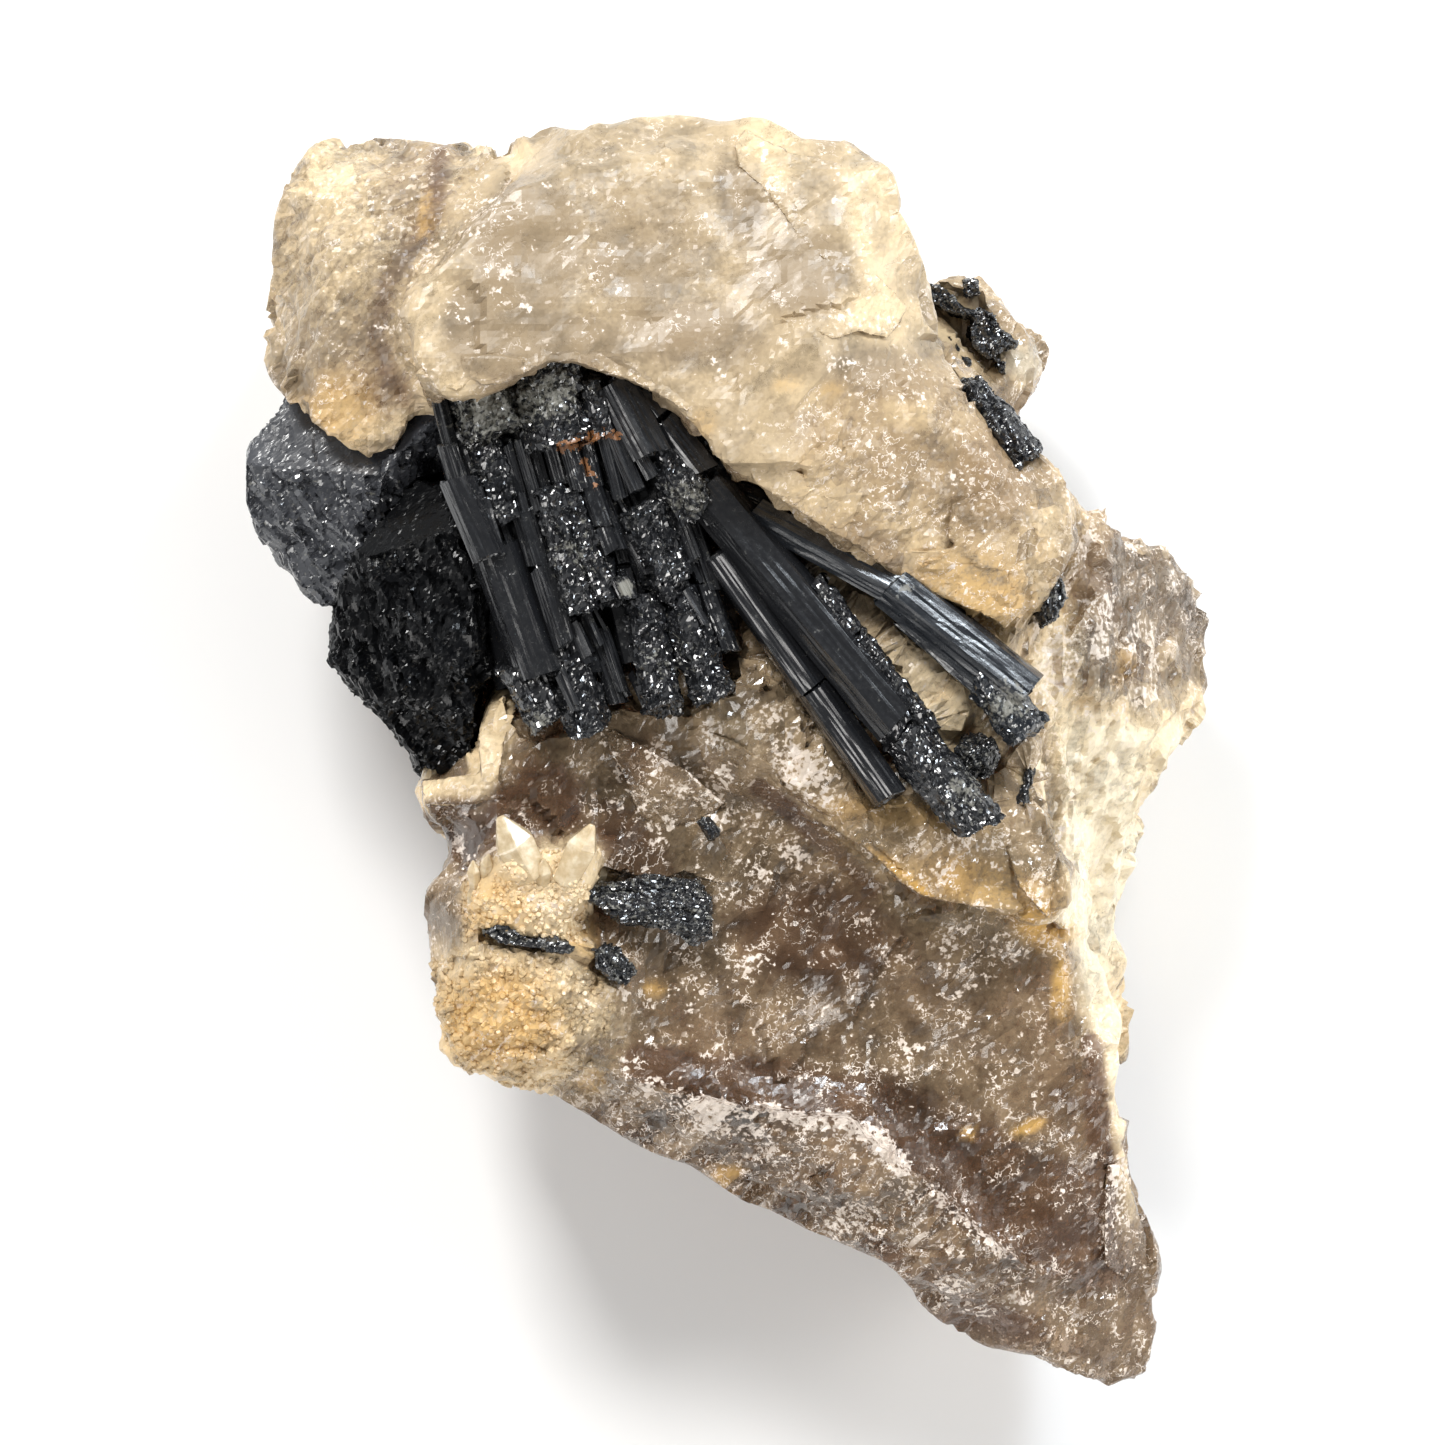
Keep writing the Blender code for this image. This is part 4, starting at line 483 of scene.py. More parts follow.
class QuartzLook(bpy.types.PropertyGroup):
    """Sizes and colours of the smoky quartz."""

    voxel: FloatProperty(
        name="Grain of the skin", description="Voxel size of the quartz's skin",
        default=0.00043, unit="LENGTH", precision=5)
    clear: FloatVectorProperty(
        name="Clear tint", description="Tint of the clear quartz",
        default=(0.96, 0.90, 0.82), subtype="COLOR")
    tan: FloatVectorProperty(
        name="Milky tan", description="Colour of the matte quartz of the crown",
        default=(0.29, 0.216, 0.134), subtype="COLOR")
    cream: FloatVectorProperty(
        name="Cream", description="Colour of the pale rims and crusts",
        default=(0.80, 0.62, 0.375), subtype="COLOR")
    # The ivory is partly the flank's own pale colour and partly painted light that lifts that steep side to the
    # brightness of its backlight.
    ivory: FloatVectorProperty(
        name="Ivory", description="Colour of the palest crystals at the right edge",
        default=(0.90, 0.80, 0.60), subtype="COLOR")
    white: FloatVectorProperty(
        name="Veil white", description="Colour of the feathery veils and flecks",
        default=(0.82, 0.72, 0.63), subtype="COLOR")
    # The brown is also the colour of the painted shade in the seams, the groove and the crevices.
    brown: FloatVectorProperty(
        name="Smoky brown", description="Colour of the smoky zones",
        default=(0.150, 0.084, 0.048), subtype="COLOR")
    amber: FloatVectorProperty(
        name="Amber", description="Colour of the iron-stained zones",
        default=(0.60, 0.36, 0.11), subtype="COLOR")
    depth: FloatProperty(
        name="Absorption", description="Density of the smoke inside the quartz",
        default=88.0)


class SchorlLook(bpy.types.PropertyGroup):
    """Sizes and colours of the schorl."""

    black: FloatVectorProperty(
        name="Black", description="Colour of fresh schorl",
        default=(0.010, 0.0105, 0.012), subtype="COLOR")
    dust: FloatVectorProperty(
        name="Dust", description="Colour of the quartz dust in its breaks",
        default=(0.17, 0.165, 0.14), subtype="COLOR")
    rust: FloatVectorProperty(
        name="Rust", description="Colour of the iron stain in the fan",
        default=(0.22, 0.085, 0.022), subtype="COLOR")
    groove: FloatProperty(
        name="Groove depth", description="Depth of the striations along a prism",
        default=0.00005, unit="LENGTH", precision=5)
    ring: IntProperty(
        name="Sides", description="Points round a prism, a multiple of six",
        default=48)
    splinters: IntProperty(
        name="Splinters", description="Thin prisms in the gaps of the fan",
        default=90)


class StageLook(bpy.types.PropertyGroup):
    """The floor, the lights and the camera."""

    floor: FloatVectorProperty(
        name="Floor", description="Colour of the floor", default=(0.90, 0.90, 0.90), subtype="COLOR")
    distance: FloatProperty(
        name="Camera distance", description="Height of the camera over the specimen's middle",
        default=0.9, unit="LENGTH")
    sky: FloatProperty(
        name="Sky", description="Strength of the light from the sides", default=0.60)
    ceiling: FloatProperty(
        name="Ceiling", description="Strength of the light from straight above", default=0.08)
    key: FloatProperty(
        name="Key", description="Power of the large soft lamp", default=4.15, unit="POWER")


class Term:
    """A shader socket that Python expressions can use."""

    def __init__(self, finish, socket):
        self.finish = finish
        self.socket = socket

    def __add__(self, other):
        return self.finish.maths("ADD", self, other)

    def __sub__(self, other):
        return self.finish.maths("SUBTRACT", self, other)

    def __rsub__(self, other):
        return self.finish.maths("SUBTRACT", other, self)

    def __mul__(self, other):
        return self.finish.maths("MULTIPLY", self, other)

    def __truediv__(self, other):
        return self.finish.maths("DIVIDE", self, other)

    def also(self, name):
        """Another output of the same node."""
        return Term(self.finish, self.socket.node.outputs[name])

    __radd__ = __add__
    __rmul__ = __mul__


class Finish:
    """One node tree, and the few ways that this specimen's finishes are written."""

    def __init__(self, name, owner=None):
        self.owner = owner or bpy.data.materials.new(name)
        self.owner.use_nodes = True
        self.tree = self.owner.node_tree
        self.tree.nodes.clear()

    def node(self, kind, settings=None, inputs=None, output=0):
        """Adds a node: its settings first, then its sockets' values or links."""
        made = self.tree.nodes.new(kind)
        for key, value in (settings or {}).items():
            setattr(made, key, value)
        for key, value in (inputs or {}).items():
            if isinstance(value, Term):
                self.tree.links.new(value.socket, made.inputs[key])
            else:
                made.inputs[key].default_value = value
        return None if output is None else Term(self, made.outputs[output])

    def maths(self, operation, one, two=0.0, clamp=False):
        return self.node("ShaderNodeMath", {"operation": operation, "use_clamp": clamp}, {0: one, 1: two})

    def vector(self, operation, one, two, output=0):
        return self.node("ShaderNodeVectorMath", {"operation": operation}, {0: one, 1: two}, output)

    def share(self, value):
        """The value held between 0 and 1."""
        return self.maths("ADD", value, 0.0, clamp=True)

    def rise(self, value, low, high):
        """0 below low, 1 above high, and smooth between them."""
        return self.node("ShaderNodeMapRange", {"interpolation_type": "SMOOTHSTEP"},
                         {0: value, 1: low, 2: high, 3: 0.0, 4: 1.0})

    def blend(self, factor, one, two):
        """Mixes two colours."""
        return self.node("ShaderNodeMix", {"data_type": "RGBA"}, {0: factor, 6: one, 7: two}, 2)

    def places(self):
        """Object coordinates in millimetres."""
        spot = self.node("ShaderNodeTexCoord", output=3)
        return self.node("ShaderNodeVectorMath", {"operation": "SCALE"}, {0: spot, 3: 1 / MM})

    def painted(self, name):
        """A value that the mesh carries."""
        return self.node("ShaderNodeAttribute", {"attribute_name": name}, output=2)

    def clouds(self, at, scale, detail=3.0, roughness=0.5, warp=0.0, output=0):
        return self.node("ShaderNodeTexNoise", None,
                         {"Vector": at, "Scale": scale, "Detail": detail, "Roughness": roughness,
                          "Distortion": warp}, output)

    def turned(self, at, stretch=1.0):
        """The places seen along a slanting line, as a flat pattern has to be to reach every side."""
        leaned = self.node("ShaderNodeMapping", None, {"Vector": at, "Rotation": (0.528, -0.467, 0.3)})
        return self.vector("MULTIPLY", leaned, (1.0, stretch, 0.0))

    def cells(self, flat, scale):
        """A flat field of cells."""
        return self.node("ShaderNodeTexVoronoi", {"voronoi_dimensions": "2D"}, {"Vector": flat, "Scale": scale})

    def shade(self, colour):
        """A colour's mean, as one number."""
        return self.vector("DOT_PRODUCT", colour, (1 / 3, 1 / 3, 1 / 3), 1)

    def tilts(self, flat, cell):
        """The height of a field of small flat faces, one to a cell, each with its own tilt."""
        tilt = self.vector("SUBTRACT", cell.also("Color"), (0.5, 0.5, 0.5))
        return self.vector("DOT_PRODUCT", self.vector("SUBTRACT", flat, cell.also("Position")), tilt, 1)

    def relief(self, height):
        """The normal of a relief whose height is in millimetres."""
        return self.node("ShaderNodeBump", None, {"Height": height, "Distance": MM})

    def output(self, surface, volume=None):
        """Ends a material's tree and returns the material."""
        inputs = {"Surface": surface}
        if volume:
            inputs["Volume"] = volume
        self.node("ShaderNodeOutputMaterial", None, inputs, None)
        return self.owner


def rgba(colour):
    return (*colour, 1.0)


def smoky_quartz_finish(look):
    """Clear, smoky quartz under milky, amber and veiled zones."""
    f = Finish("clear_smoky_quartz")
    at = f.places()
    milk, smoke, amber = f.painted("milk"), f.painted("smoke"), f.painted("amber")
    gloss, pale, dim = f.painted("gloss"), f.painted("pale"), f.painted("dim")
    veil, cloudy, high = f.painted("veil"), f.painted("cloudy"), f.painted("high")
    pebbly, rugged, threads = f.painted("pebbly"), f.painted("rugged"), f.painted("threads")

    fine = f.clouds(at, 2.6, 3, 0.7)
    flat, leaned = f.turned(at), f.turned(at, 0.74)
    grains, facets = f.cells(flat, 3.6), f.cells(leaned, 0.78)
    # facet is one tone to each facet, from the same cells that tilt the facets: partly milkier or clearer quartz,
    # partly painted shade that makes each facet lighter or darker with its tilt.
    facet = (f.shade(facets.also("Color")) - 0.5) * rugged
    # pick and fleck make small white flecks, one to a grain cell: partly white grains in the quartz, partly painted
    # glints of tiny facets; pick also breaks the white patches into a mosaic of sparkle.
    pick = f.shade(grains.also("Color")) + (fine - 0.5) * 0.6
    fleck = f.rise(pick, 0.79, 0.83)
    blot = 1 - f.rise(pick, 0.20, 0.32)
    hair = f.clouds(at, 1.3, 2, 0.7)
    lint = (1 - f.rise(f.maths("ABSOLUTE", hair - 0.5), 0.005, 0.024)) * f.rise(fine, 0.44, 0.54)
    patch = f.rise(veil * 0.85 + (fine - 0.5) * 2.4 + (hair - 0.5) * 1.6 + facet * 1.5, 0.54, 0.88)
    white = f.share(patch * (0.30 + pick * 0.85) + lint * f.rise(cloudy + threads * 0.30, 0.62, 0.80)
                    + fleck * f.rise(cloudy, 0.30, 0.78) * (0.55 + threads * 0.25))

    milky = f.blend(f.share(pale - dim * 0.6 + (fine - 0.5) * 0.45 + facet * 1.1 + (pick - 0.5) * pebbly * 0.7),
                    rgba(look.tan),
                    rgba(look.cream))
    # Partly painted light: the flank's high pale reaches the ivory.
    milky = f.blend(f.share(pale - 0.95), milky, rgba(look.ivory))
    milky = f.blend(f.share(smoke * (1.1 - cloudy * 0.3)), milky, rgba(look.brown))
    milky = f.blend(f.share(amber * f.rise(cloudy + fine, 0.50, 1.00)), milky, rgba(look.amber))
    # Painted shade: darker brown where the skin lies low and where the fine noise dips on rugged ground, as in
    # crevices; the dark specks of blot are the stone's own.
    milky = f.blend(f.share((0.45 - fine) * 1.8 * rugged - high * 0.25 + blot * (smoke * 0.5 + 0.04)),
                    milky, rgba(look.brown))
    # Raised places are whiter: partly frosted edges, partly painted light on the raised bits.
    milky = f.blend(f.share(white + high * 0.15), milky, rgba(look.white))
    clear = f.blend(f.share(smoke), rgba(look.clear), (0.86, 0.69, 0.53, 1))
    clear = f.blend(f.share(amber), clear, (0.94, 0.70, 0.36, 1))

    normal = f.relief((rugged + pebbly * 0.6) * f.tilts(flat, grains) * 0.42
                      + rugged * f.tilts(leaned, facets) * 0.66)

    coverage = f.share(milk * (0.50 + cloudy * 0.98) + (fine - 0.5) * 0.5 + facet + white * 0.9 + amber * 0.3)
    coverage = 0.08 + coverage * 0.92
    sheen = f.share(0.46 - gloss * 0.40 + (fine - 0.5) * 0.20 + facet * 0.3)
    glassy = f.node("ShaderNodeBsdfPrincipled", None, {
        "Base Color": clear, "Roughness": sheen, "IOR": 1.544, "Transmission Weight": 1.0,
        "Normal": normal})
    matte = f.node("ShaderNodeBsdfPrincipled", None, {
        "Base Color": milky, "Roughness": f.share(sheen + 0.06), "IOR": 1.544,
        "Transmission Weight": 0.0, "Normal": normal})
    both = f.node("ShaderNodeMixShader", None, {0: coverage, 1: glassy, 2: matte})
    smoke_inside = f.node("ShaderNodeVolumeAbsorption", None,
                          {"Color": (0.78, 0.58, 0.40, 1), "Density": look.depth})
    return f.output(both, smoke_inside)


def pale_quartz_finish(look):
    """The cream, half-clear quartz of the small points and the crust."""
    f = Finish("pale_quartz")
    fine = f.clouds(f.places(), 1.1, 3, 0.6)
    colour = f.blend(f.rise(fine, 0.40, 0.78), rgba(look.cream), rgba(look.ivory))
    glassy = f.node("ShaderNodeBsdfPrincipled", None, {
        "Base Color": rgba((0.97, 0.92, 0.78)), "Roughness": 0.10, "IOR": 1.544, "Transmission Weight": 1.0})
    matte = f.node("ShaderNodeBsdfPrincipled", None, {
        "Base Color": colour, "Roughness": 0.24, "IOR": 1.544, "Normal": f.relief(fine * 0.05)})
    return f.output(f.node("ShaderNodeMixShader", None, {0: f.share(0.60 + (fine - 0.5) * 0.8), 1: glassy, 2: matte}))


def schorl_finish(name, look, luster, fade=(1, 1, 1)):
    """Opaque black schorl: glossy striated faces, and broken faces that sparkle."""
    f = Finish(name)
    at = f.places()
    broken, dusty, rusty = f.painted("broken"), f.painted("dusty"), f.painted("rusty")
    along = f.node("ShaderNodeAttribute", {"attribute_name": "grain"}, output=1)
    lines = f.clouds(f.vector("MULTIPLY", along, (4.5, 0.10, 1.0)), 1.0, 3, 0.7)
    fine = f.clouds(at, 2.6, 2, 0.65)
    flat = f.turned(at)
    glitter = f.tilts(flat, f.cells(flat, 3.2))

    dust = f.share(f.rise(dusty + (fine - 0.5) * 1.2, 0.30, 0.60) + broken * f.rise(fine, 0.60, 0.72) * 0.3)
    colour = f.blend(dust, rgba([c * f_ for c, f_ in zip(look.black, fade)]), rgba(look.dust))
    rust = f.rise(rusty + (fine - 0.5) * 2.4, 0.78, 0.94)
    colour = f.blend(rust, colour, rgba(look.rust))
    rough = f.share(0.24 - broken * 0.13 + (fine - 0.5) * 0.25 + dust * 0.4 + rust * 0.3)
    normal = f.relief(lines * (1 - broken * 0.6) * 0.016
                      + broken * glitter * (0.4 + broken * 0.9))
    shader = f.node("ShaderNodeBsdfPrincipled", None, {
        "Base Color": colour, "Roughness": rough, "IOR": luster, "Normal": normal})
    return f.output(shader)


def plain_finish(name, colour, roughness):
    """The floor's plain paint."""
    f = Finish(name)
    speckle = f.clouds(f.places(), 0.05, 2)
    shade = f.blend(speckle, rgba(colour), rgba([c * 0.99 for c in colour]))
    return f.output(f.node("ShaderNodeBsdfPrincipled", None, {"Base Color": shade, "Roughness": roughness}))


def finished(name, bm, finish, replaced=()):
    """Turns a bmesh in millimetres into a piece of the specimen."""
    hold_in_box(bm)
    bmesh.ops.scale(bm, vec=(MM, MM, MM), verts=bm.verts)
    mesh = bpy.data.meshes.new(name)
    bm.to_mesh(mesh)
    bm.free()
    mesh.materials.append(finish)
    piece = bpy.data.objects.new(name, mesh)
    bpy.context.scene.collection.objects.link(piece)
    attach(piece, BODY)
    if replaced:
        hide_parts(*replaced)
    return piece


def packed_copy(node):
    """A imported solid's mesh in millimetres, with its loose triangles joined."""
    bm = bmesh.new()
    bm.from_mesh(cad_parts[node].data)
    bmesh.ops.remove_doubles(bm, verts=bm.verts, dist=1e-6)
    bmesh.ops.scale(bm, vec=(1 / MM, 1 / MM, 1 / MM), verts=bm.verts)
    return bm


def reskinned(bm, voxel):
    """The same form with an even, fine skin. The voxel is in millimetres."""
    mesh = bpy.data.meshes.new("skin")
    bm.to_mesh(mesh)
    bm.free()
    helper = bpy.data.objects.new("skin", mesh)
    bpy.context.scene.collection.objects.link(helper)
    remesh = helper.modifiers.new("Skin", "REMESH")
    remesh.mode = "VOXEL"
    remesh.voxel_size = voxel
    bpy.context.view_layer.update()
    graph = bpy.context.evaluated_depsgraph_get()
    made = bpy.data.meshes.new_from_object(helper.evaluated_get(graph))
    bpy.data.objects.remove(helper)
    skin = bmesh.new()
    skin.from_mesh(made)
    bpy.data.meshes.remove(made)
    return skin


def coordinates(bm):
    return np.array([v.co[:] for v in bm.verts])


def beside(xy, line):
    """Each point's nearest spot on a line, its distance, and whether it lies on the line's left."""
    corners = np.array(line, float)
    nearest, spots = np.full(len(xy), 1e9), np.zeros((len(xy), 2))
    left, share_of_line = np.zeros(len(xy), bool), np.zeros(len(xy))
    for i, (a, b) in enumerate(zip(corners, corners[1:])):
        side, away = b - a, xy - a
        share = np.clip((away @ side) / (side @ side), 0, 1)
        spot = a + share[:, None] * side
        gap = np.hypot(*(xy - spot).T)
        closer = gap < nearest
        nearest[closer], spots[closer] = gap[closer], spot[closer]
        left[closer] = (side[0] * away[:, 1] - side[1] * away[:, 0])[closer] > 0
        share_of_line[closer] = ((i + share) / (len(corners) - 1))[closer]
    return spots, nearest, left, share_of_line


def eased(t):
    """0 to 1, smoothly."""
    t = np.clip(t, 0, 1)
    return t * t * (3 - 2 * t)


def inside(xy, outline, soft):
    """How far inside an outline each point lies: 1 inside, 0 outside, smooth over soft millimetres."""
    closed = list(outline) + [outline[0]]
    nearest = beside(xy, closed)[1]
    crossings = np.zeros(len(xy), int)
    for a, b in zip(closed, closed[1:]):
        spans = (a[1] > xy[:, 1]) != (b[1] > xy[:, 1])
        cut = a[0] + (xy[:, 1] - a[1]) * (b[0] - a[0]) / ((b[1] - a[1]) or 1e-9)
        crossings += spans & (xy[:, 0] < cut)
    return eased(np.where(crossings % 2 == 1, nearest, -nearest) / soft * 0.5 + 0.5)


def scarp(xy, height, width, line):
    """The height of a step whose raised side slopes away from its line."""
    _, gap, left, along = beside(xy, line)
    ends = eased(along * 6) * eased((1 - along) * 6)
    return np.where(left, height * np.exp(-gap / width), 0) * np.where(gap < 3 * width, ends, 0)


def patched(xy, kind):
    """How much of a kind of patch each point has."""
    most = np.zeros(len(xy))
    for x, y, wide, tall, turn, amount in PATCHES[kind]:
        turn = math.radians(turn)
        away = xy - (x, y)
        along = away @ (math.cos(turn), math.sin(turn))
        across = away @ (-math.sin(turn), math.cos(turn))
        most = np.maximum(most, amount * eased(1.5 - np.hypot(along / wide, across / tall)))
    return most


def lined(xy, rows):
    """How close each point is to one of the lines."""
    most = np.zeros(len(xy))
    for width, amount, line in rows:
        most = np.maximum(most, amount * eased(1.6 - beside(xy, line)[1] / width))
    return most


def near(points, centre, radius):
    """1 at the centre, falling smoothly to 0 at the radius."""
    return eased(1 - np.linalg.norm(points[:, :len(centre)] - np.array(centre), axis=1) / radius)


def chip(point, size, stretch=(1, 1, 1)):
    """The height of a field of flat faces at a point, each a cell with its own tilt."""
    spot = Vector((point[0] * stretch[0], point[1] * stretch[1], point[2] * stretch[2])) / size
    centre = noise.voronoi(spot)[1][0]
    tilt = noise.cell_vector(centre * 9.7) * 2 - Vector((1, 1, 1))
    return (spot - centre).dot(tilt) * 0.6 + (noise.cell(centre * 5.3) - 0.5) * 0.35


def paint(bm, name, values):
    """Stores a value for each point of the mesh."""
    layer = bm.verts.layers.float.new(name)
    for v, value in zip(bm.verts, values):
        v[layer] = float(value)


def quartz_zones(points, rises):
    """How much of each zone every point of the quartz has. The zones waver on the steep sides."""
    steep = eased((0.45 - rises) / 0.4)
    waver = np.array([noise.noise_vector(Vector(p) * 0.17)[:2] for p in points])
    xy = points[:, :2] + waver * 6 * steep[:, None]
    front = np.clip((points[:, 2] - 12) / 8, 0, 1)
    zone = {
        "xy": xy, "steep": steep,
        "crown": inside(xy, CROWN, 1.2), "horn": inside(xy, HORN, 1.0), "shoulder": inside(xy, SHOULDER, 1.5),
        "lobe": inside(xy, LOBE, 1.5) * front, "flank": inside(xy, FLANK, 1.2),
        "head": inside(xy, FLANK_HEAD, 2.0), "druse": inside(xy, DRUSE, 1.0) * front,
        "dome": inside(xy, DOME, 2.0) * front, "table": inside(xy, TABLE, 1.5) * front,
        "ground": inside(xy, GROUND, 1.5) * front, "rim": inside(xy, RIM, 0.5) * front,
        "lip": inside(xy, LIP, 1.5) * front, "rear": inside(xy, REAR, 1.0), "step": inside(xy, STEP, 1.0),
    }
    rest = np.clip(1 - sum(zone[k] for k in ("crown", "horn", "shoulder", "flank", "dome", "druse")), 0, 1)
    zone["body"] = rest
    return zone


def quartz_skin(look):
    """The quartz's fine skin: chips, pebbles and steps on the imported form, and its painted zones."""
    bm = reskinned(packed_copy(QUARTZ_NODE), look.voxel / MM)
    for _ in range(3):
        bmesh.ops.smooth_vert(bm, verts=bm.verts, factor=0.5, use_axis_x=True, use_axis_y=True,
                              use_axis_z=True)
    bm.normal_update()
    points = coordinates(bm)
    rises = np.array([v.normal.z for v in bm.verts])
    zone = quartz_zones(points, rises)
    flat = np.clip((points[:, 2] - 0.25) / 1.2, 0, 1)
    coarse = (0.45 * zone["body"] + 0.20 * zone["crown"] + 0.4 * zone["horn"] + 0.45 * zone["shoulder"]
              + 0.4 * zone["flank"] + 0.5 * zone["dome"])
    coarse *= 1 + 1.6 * np.clip(0.7 - rises, 0, 1)
    small = (0.07 * zone["body"] + 0.035 * zone["crown"] + 0.08 * zone["horn"] + 0.13 * zone["shoulder"]
             + 0.12 * zone["flank"] + 0.16 * zone["dome"] + 0.26 * zone["lip"] + 0.10 * zone["table"]
             + 0.22 * zone["ground"] + 0.12 * zone["steep"])
    pebbles = 0.30 * zone["horn"] + 0.26 * zone["dome"] + 0.16 * zone["flank"] + 0.10 * zone["druse"]
    pits = 0.34 * zone["flank"] * eased((rises - 0.1) / 0.5)
    high = np.zeros(len(points))
    for i, v in enumerate(bm.verts):
        at = v.co
        fine = small[i] * (chip(at, 1.3) + 0.55 * chip(at, 0.8))
        high[i] = fine + 0.5 * small[i] * noise.noise(at * 1.6) + pebbles[i] * noise.noise(at * 1.15)
        high[i] += pits[i] * noise.noise(Vector((at.x * 1.3, at.y * 0.7, at.z * 0.9)))
        if flat[i]:
            push = coarse[i] * chip(at, 3.6, (1, 0.7, 1)) + high[i] + 0.10 * noise.noise(at * 0.6)
            v.co = at + v.normal * (push * flat[i])
    points = coordinates(bm)
    points[:, 2] += sum(scarp(points[:, :2], *row) for row in SCARPS) * eased((rises - 0.15) / 0.5)
    draw_to_edges(points, rises)
    for v, place in zip(bm.verts, points):
        v.co = place
    grip(bm)
    paint_quartz(bm, coordinates(bm), zone, high)
    return bm


def shard(thickness, corners, skin):
    """A plate whose corners stand over the quartz's skin."""
    bm = bmesh.new()
    rim = []
    for x, y, lift in corners:
        round_it = ((0, 0), (0.6, 0), (-0.6, 0), (0, 0.6), (0, -0.6))
        rim.append(bm.verts.new((x, y, max(skin_height(skin, x + dx, y + dy) for dx, dy in round_it) + lift)))
    top = bm.faces.new(rim)
    risen = bmesh.ops.extrude_face_region(bm, geom=[top])["geom"]
    sunk = [v for v in risen if isinstance(v, bmesh.types.BMVert)]
    bmesh.ops.translate(bm, vec=(0, 0, -thickness), verts=sunk)
    bmesh.ops.triangulate(bm, faces=bm.faces[:])
    bmesh.ops.recalc_face_normals(bm, faces=bm.faces)
    return bm


def quartz_shards(skin):
    """All the plates, with lightly chipped faces and the zones of the quartz round them."""
    whole = bmesh.new()
    for thickness, corners in SHARDS:
        absorb(whole, shard(thickness, corners, skin))
    bm = reskinned(whole, 0.21)
    bm.normal_update()
    high = np.zeros(len(bm.verts))
    for i, v in enumerate(bm.verts):
        high[i] = 0.09 * (chip(v.co, 1.6) + chip(v.co, 0.7))
        v.co += v.normal * high[i]
    points = coordinates(bm)
    paint_quartz(bm, points, quartz_zones(points, np.array([v.normal.z for v in bm.verts])), high)
    return bm


def draw_to_edges(points, rises):
    """Draws the quartz's steep outer points onto the lines that its silhouette follows."""
    steep = eased((0.8 - np.abs(rises)) / 0.35)
    for reach, low, line in EDGES:
        spots, gap, _, along = beside(points[:, :2], line)
        pull = steep * eased(1.6 - 1.6 * gap / reach) * eased((points[:, 2] - low) / 3)
        pull *= (along > 0) & (along < 1)
        points[:, :2] += (spots - points[:, :2]) * pull[:, None]


def grip(bm):
    """Draws the quartz's points next to a schorl crystal onto it, so that no gap shows between them."""
    whole = bmesh.new()
    for node in SCHORL_NODES:
        whole.from_mesh(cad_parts[node].data)
    bmesh.ops.scale(whole, vec=(1 / MM, 1 / MM, 1 / MM), verts=whole.verts)
    tree = BVHTree.FromBMesh(whole)
    free = inside(coordinates(bm)[:, :2], OVER_RODS, 1.0)
    for v, kept in zip(bm.verts, free):
        spot, normal, _, distance = tree.find_nearest(v.co, 1.1)
        if spot is None:
            continue
        pull = min(1.0, max(0.0, (1.1 - distance) / 0.4)) * (1 - kept)
        v.co = v.co.lerp(spot - normal * 0.12, pull)
    whole.free()


def hold_in_box(bm):
    """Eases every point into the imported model's box, so that its walls cut nothing flat but the base."""
    low, high = (np.array(c) / MM for c in CAD_BOX)
    soft = 0.5
    points = coordinates(bm)
    over, under = points - (high - soft), (low + soft) - points
    under[:, 2] = 0
    points = np.where(over > 0, high - soft * np.exp(-np.maximum(over, 0) / soft), points)
    points = np.where(under > 0, low + soft * np.exp(-np.maximum(under, 0) / soft), points)
    points[:, 2] = np.maximum(points[:, 2], low[2])
    for v, place in zip(bm.verts, points):
        v.co = place


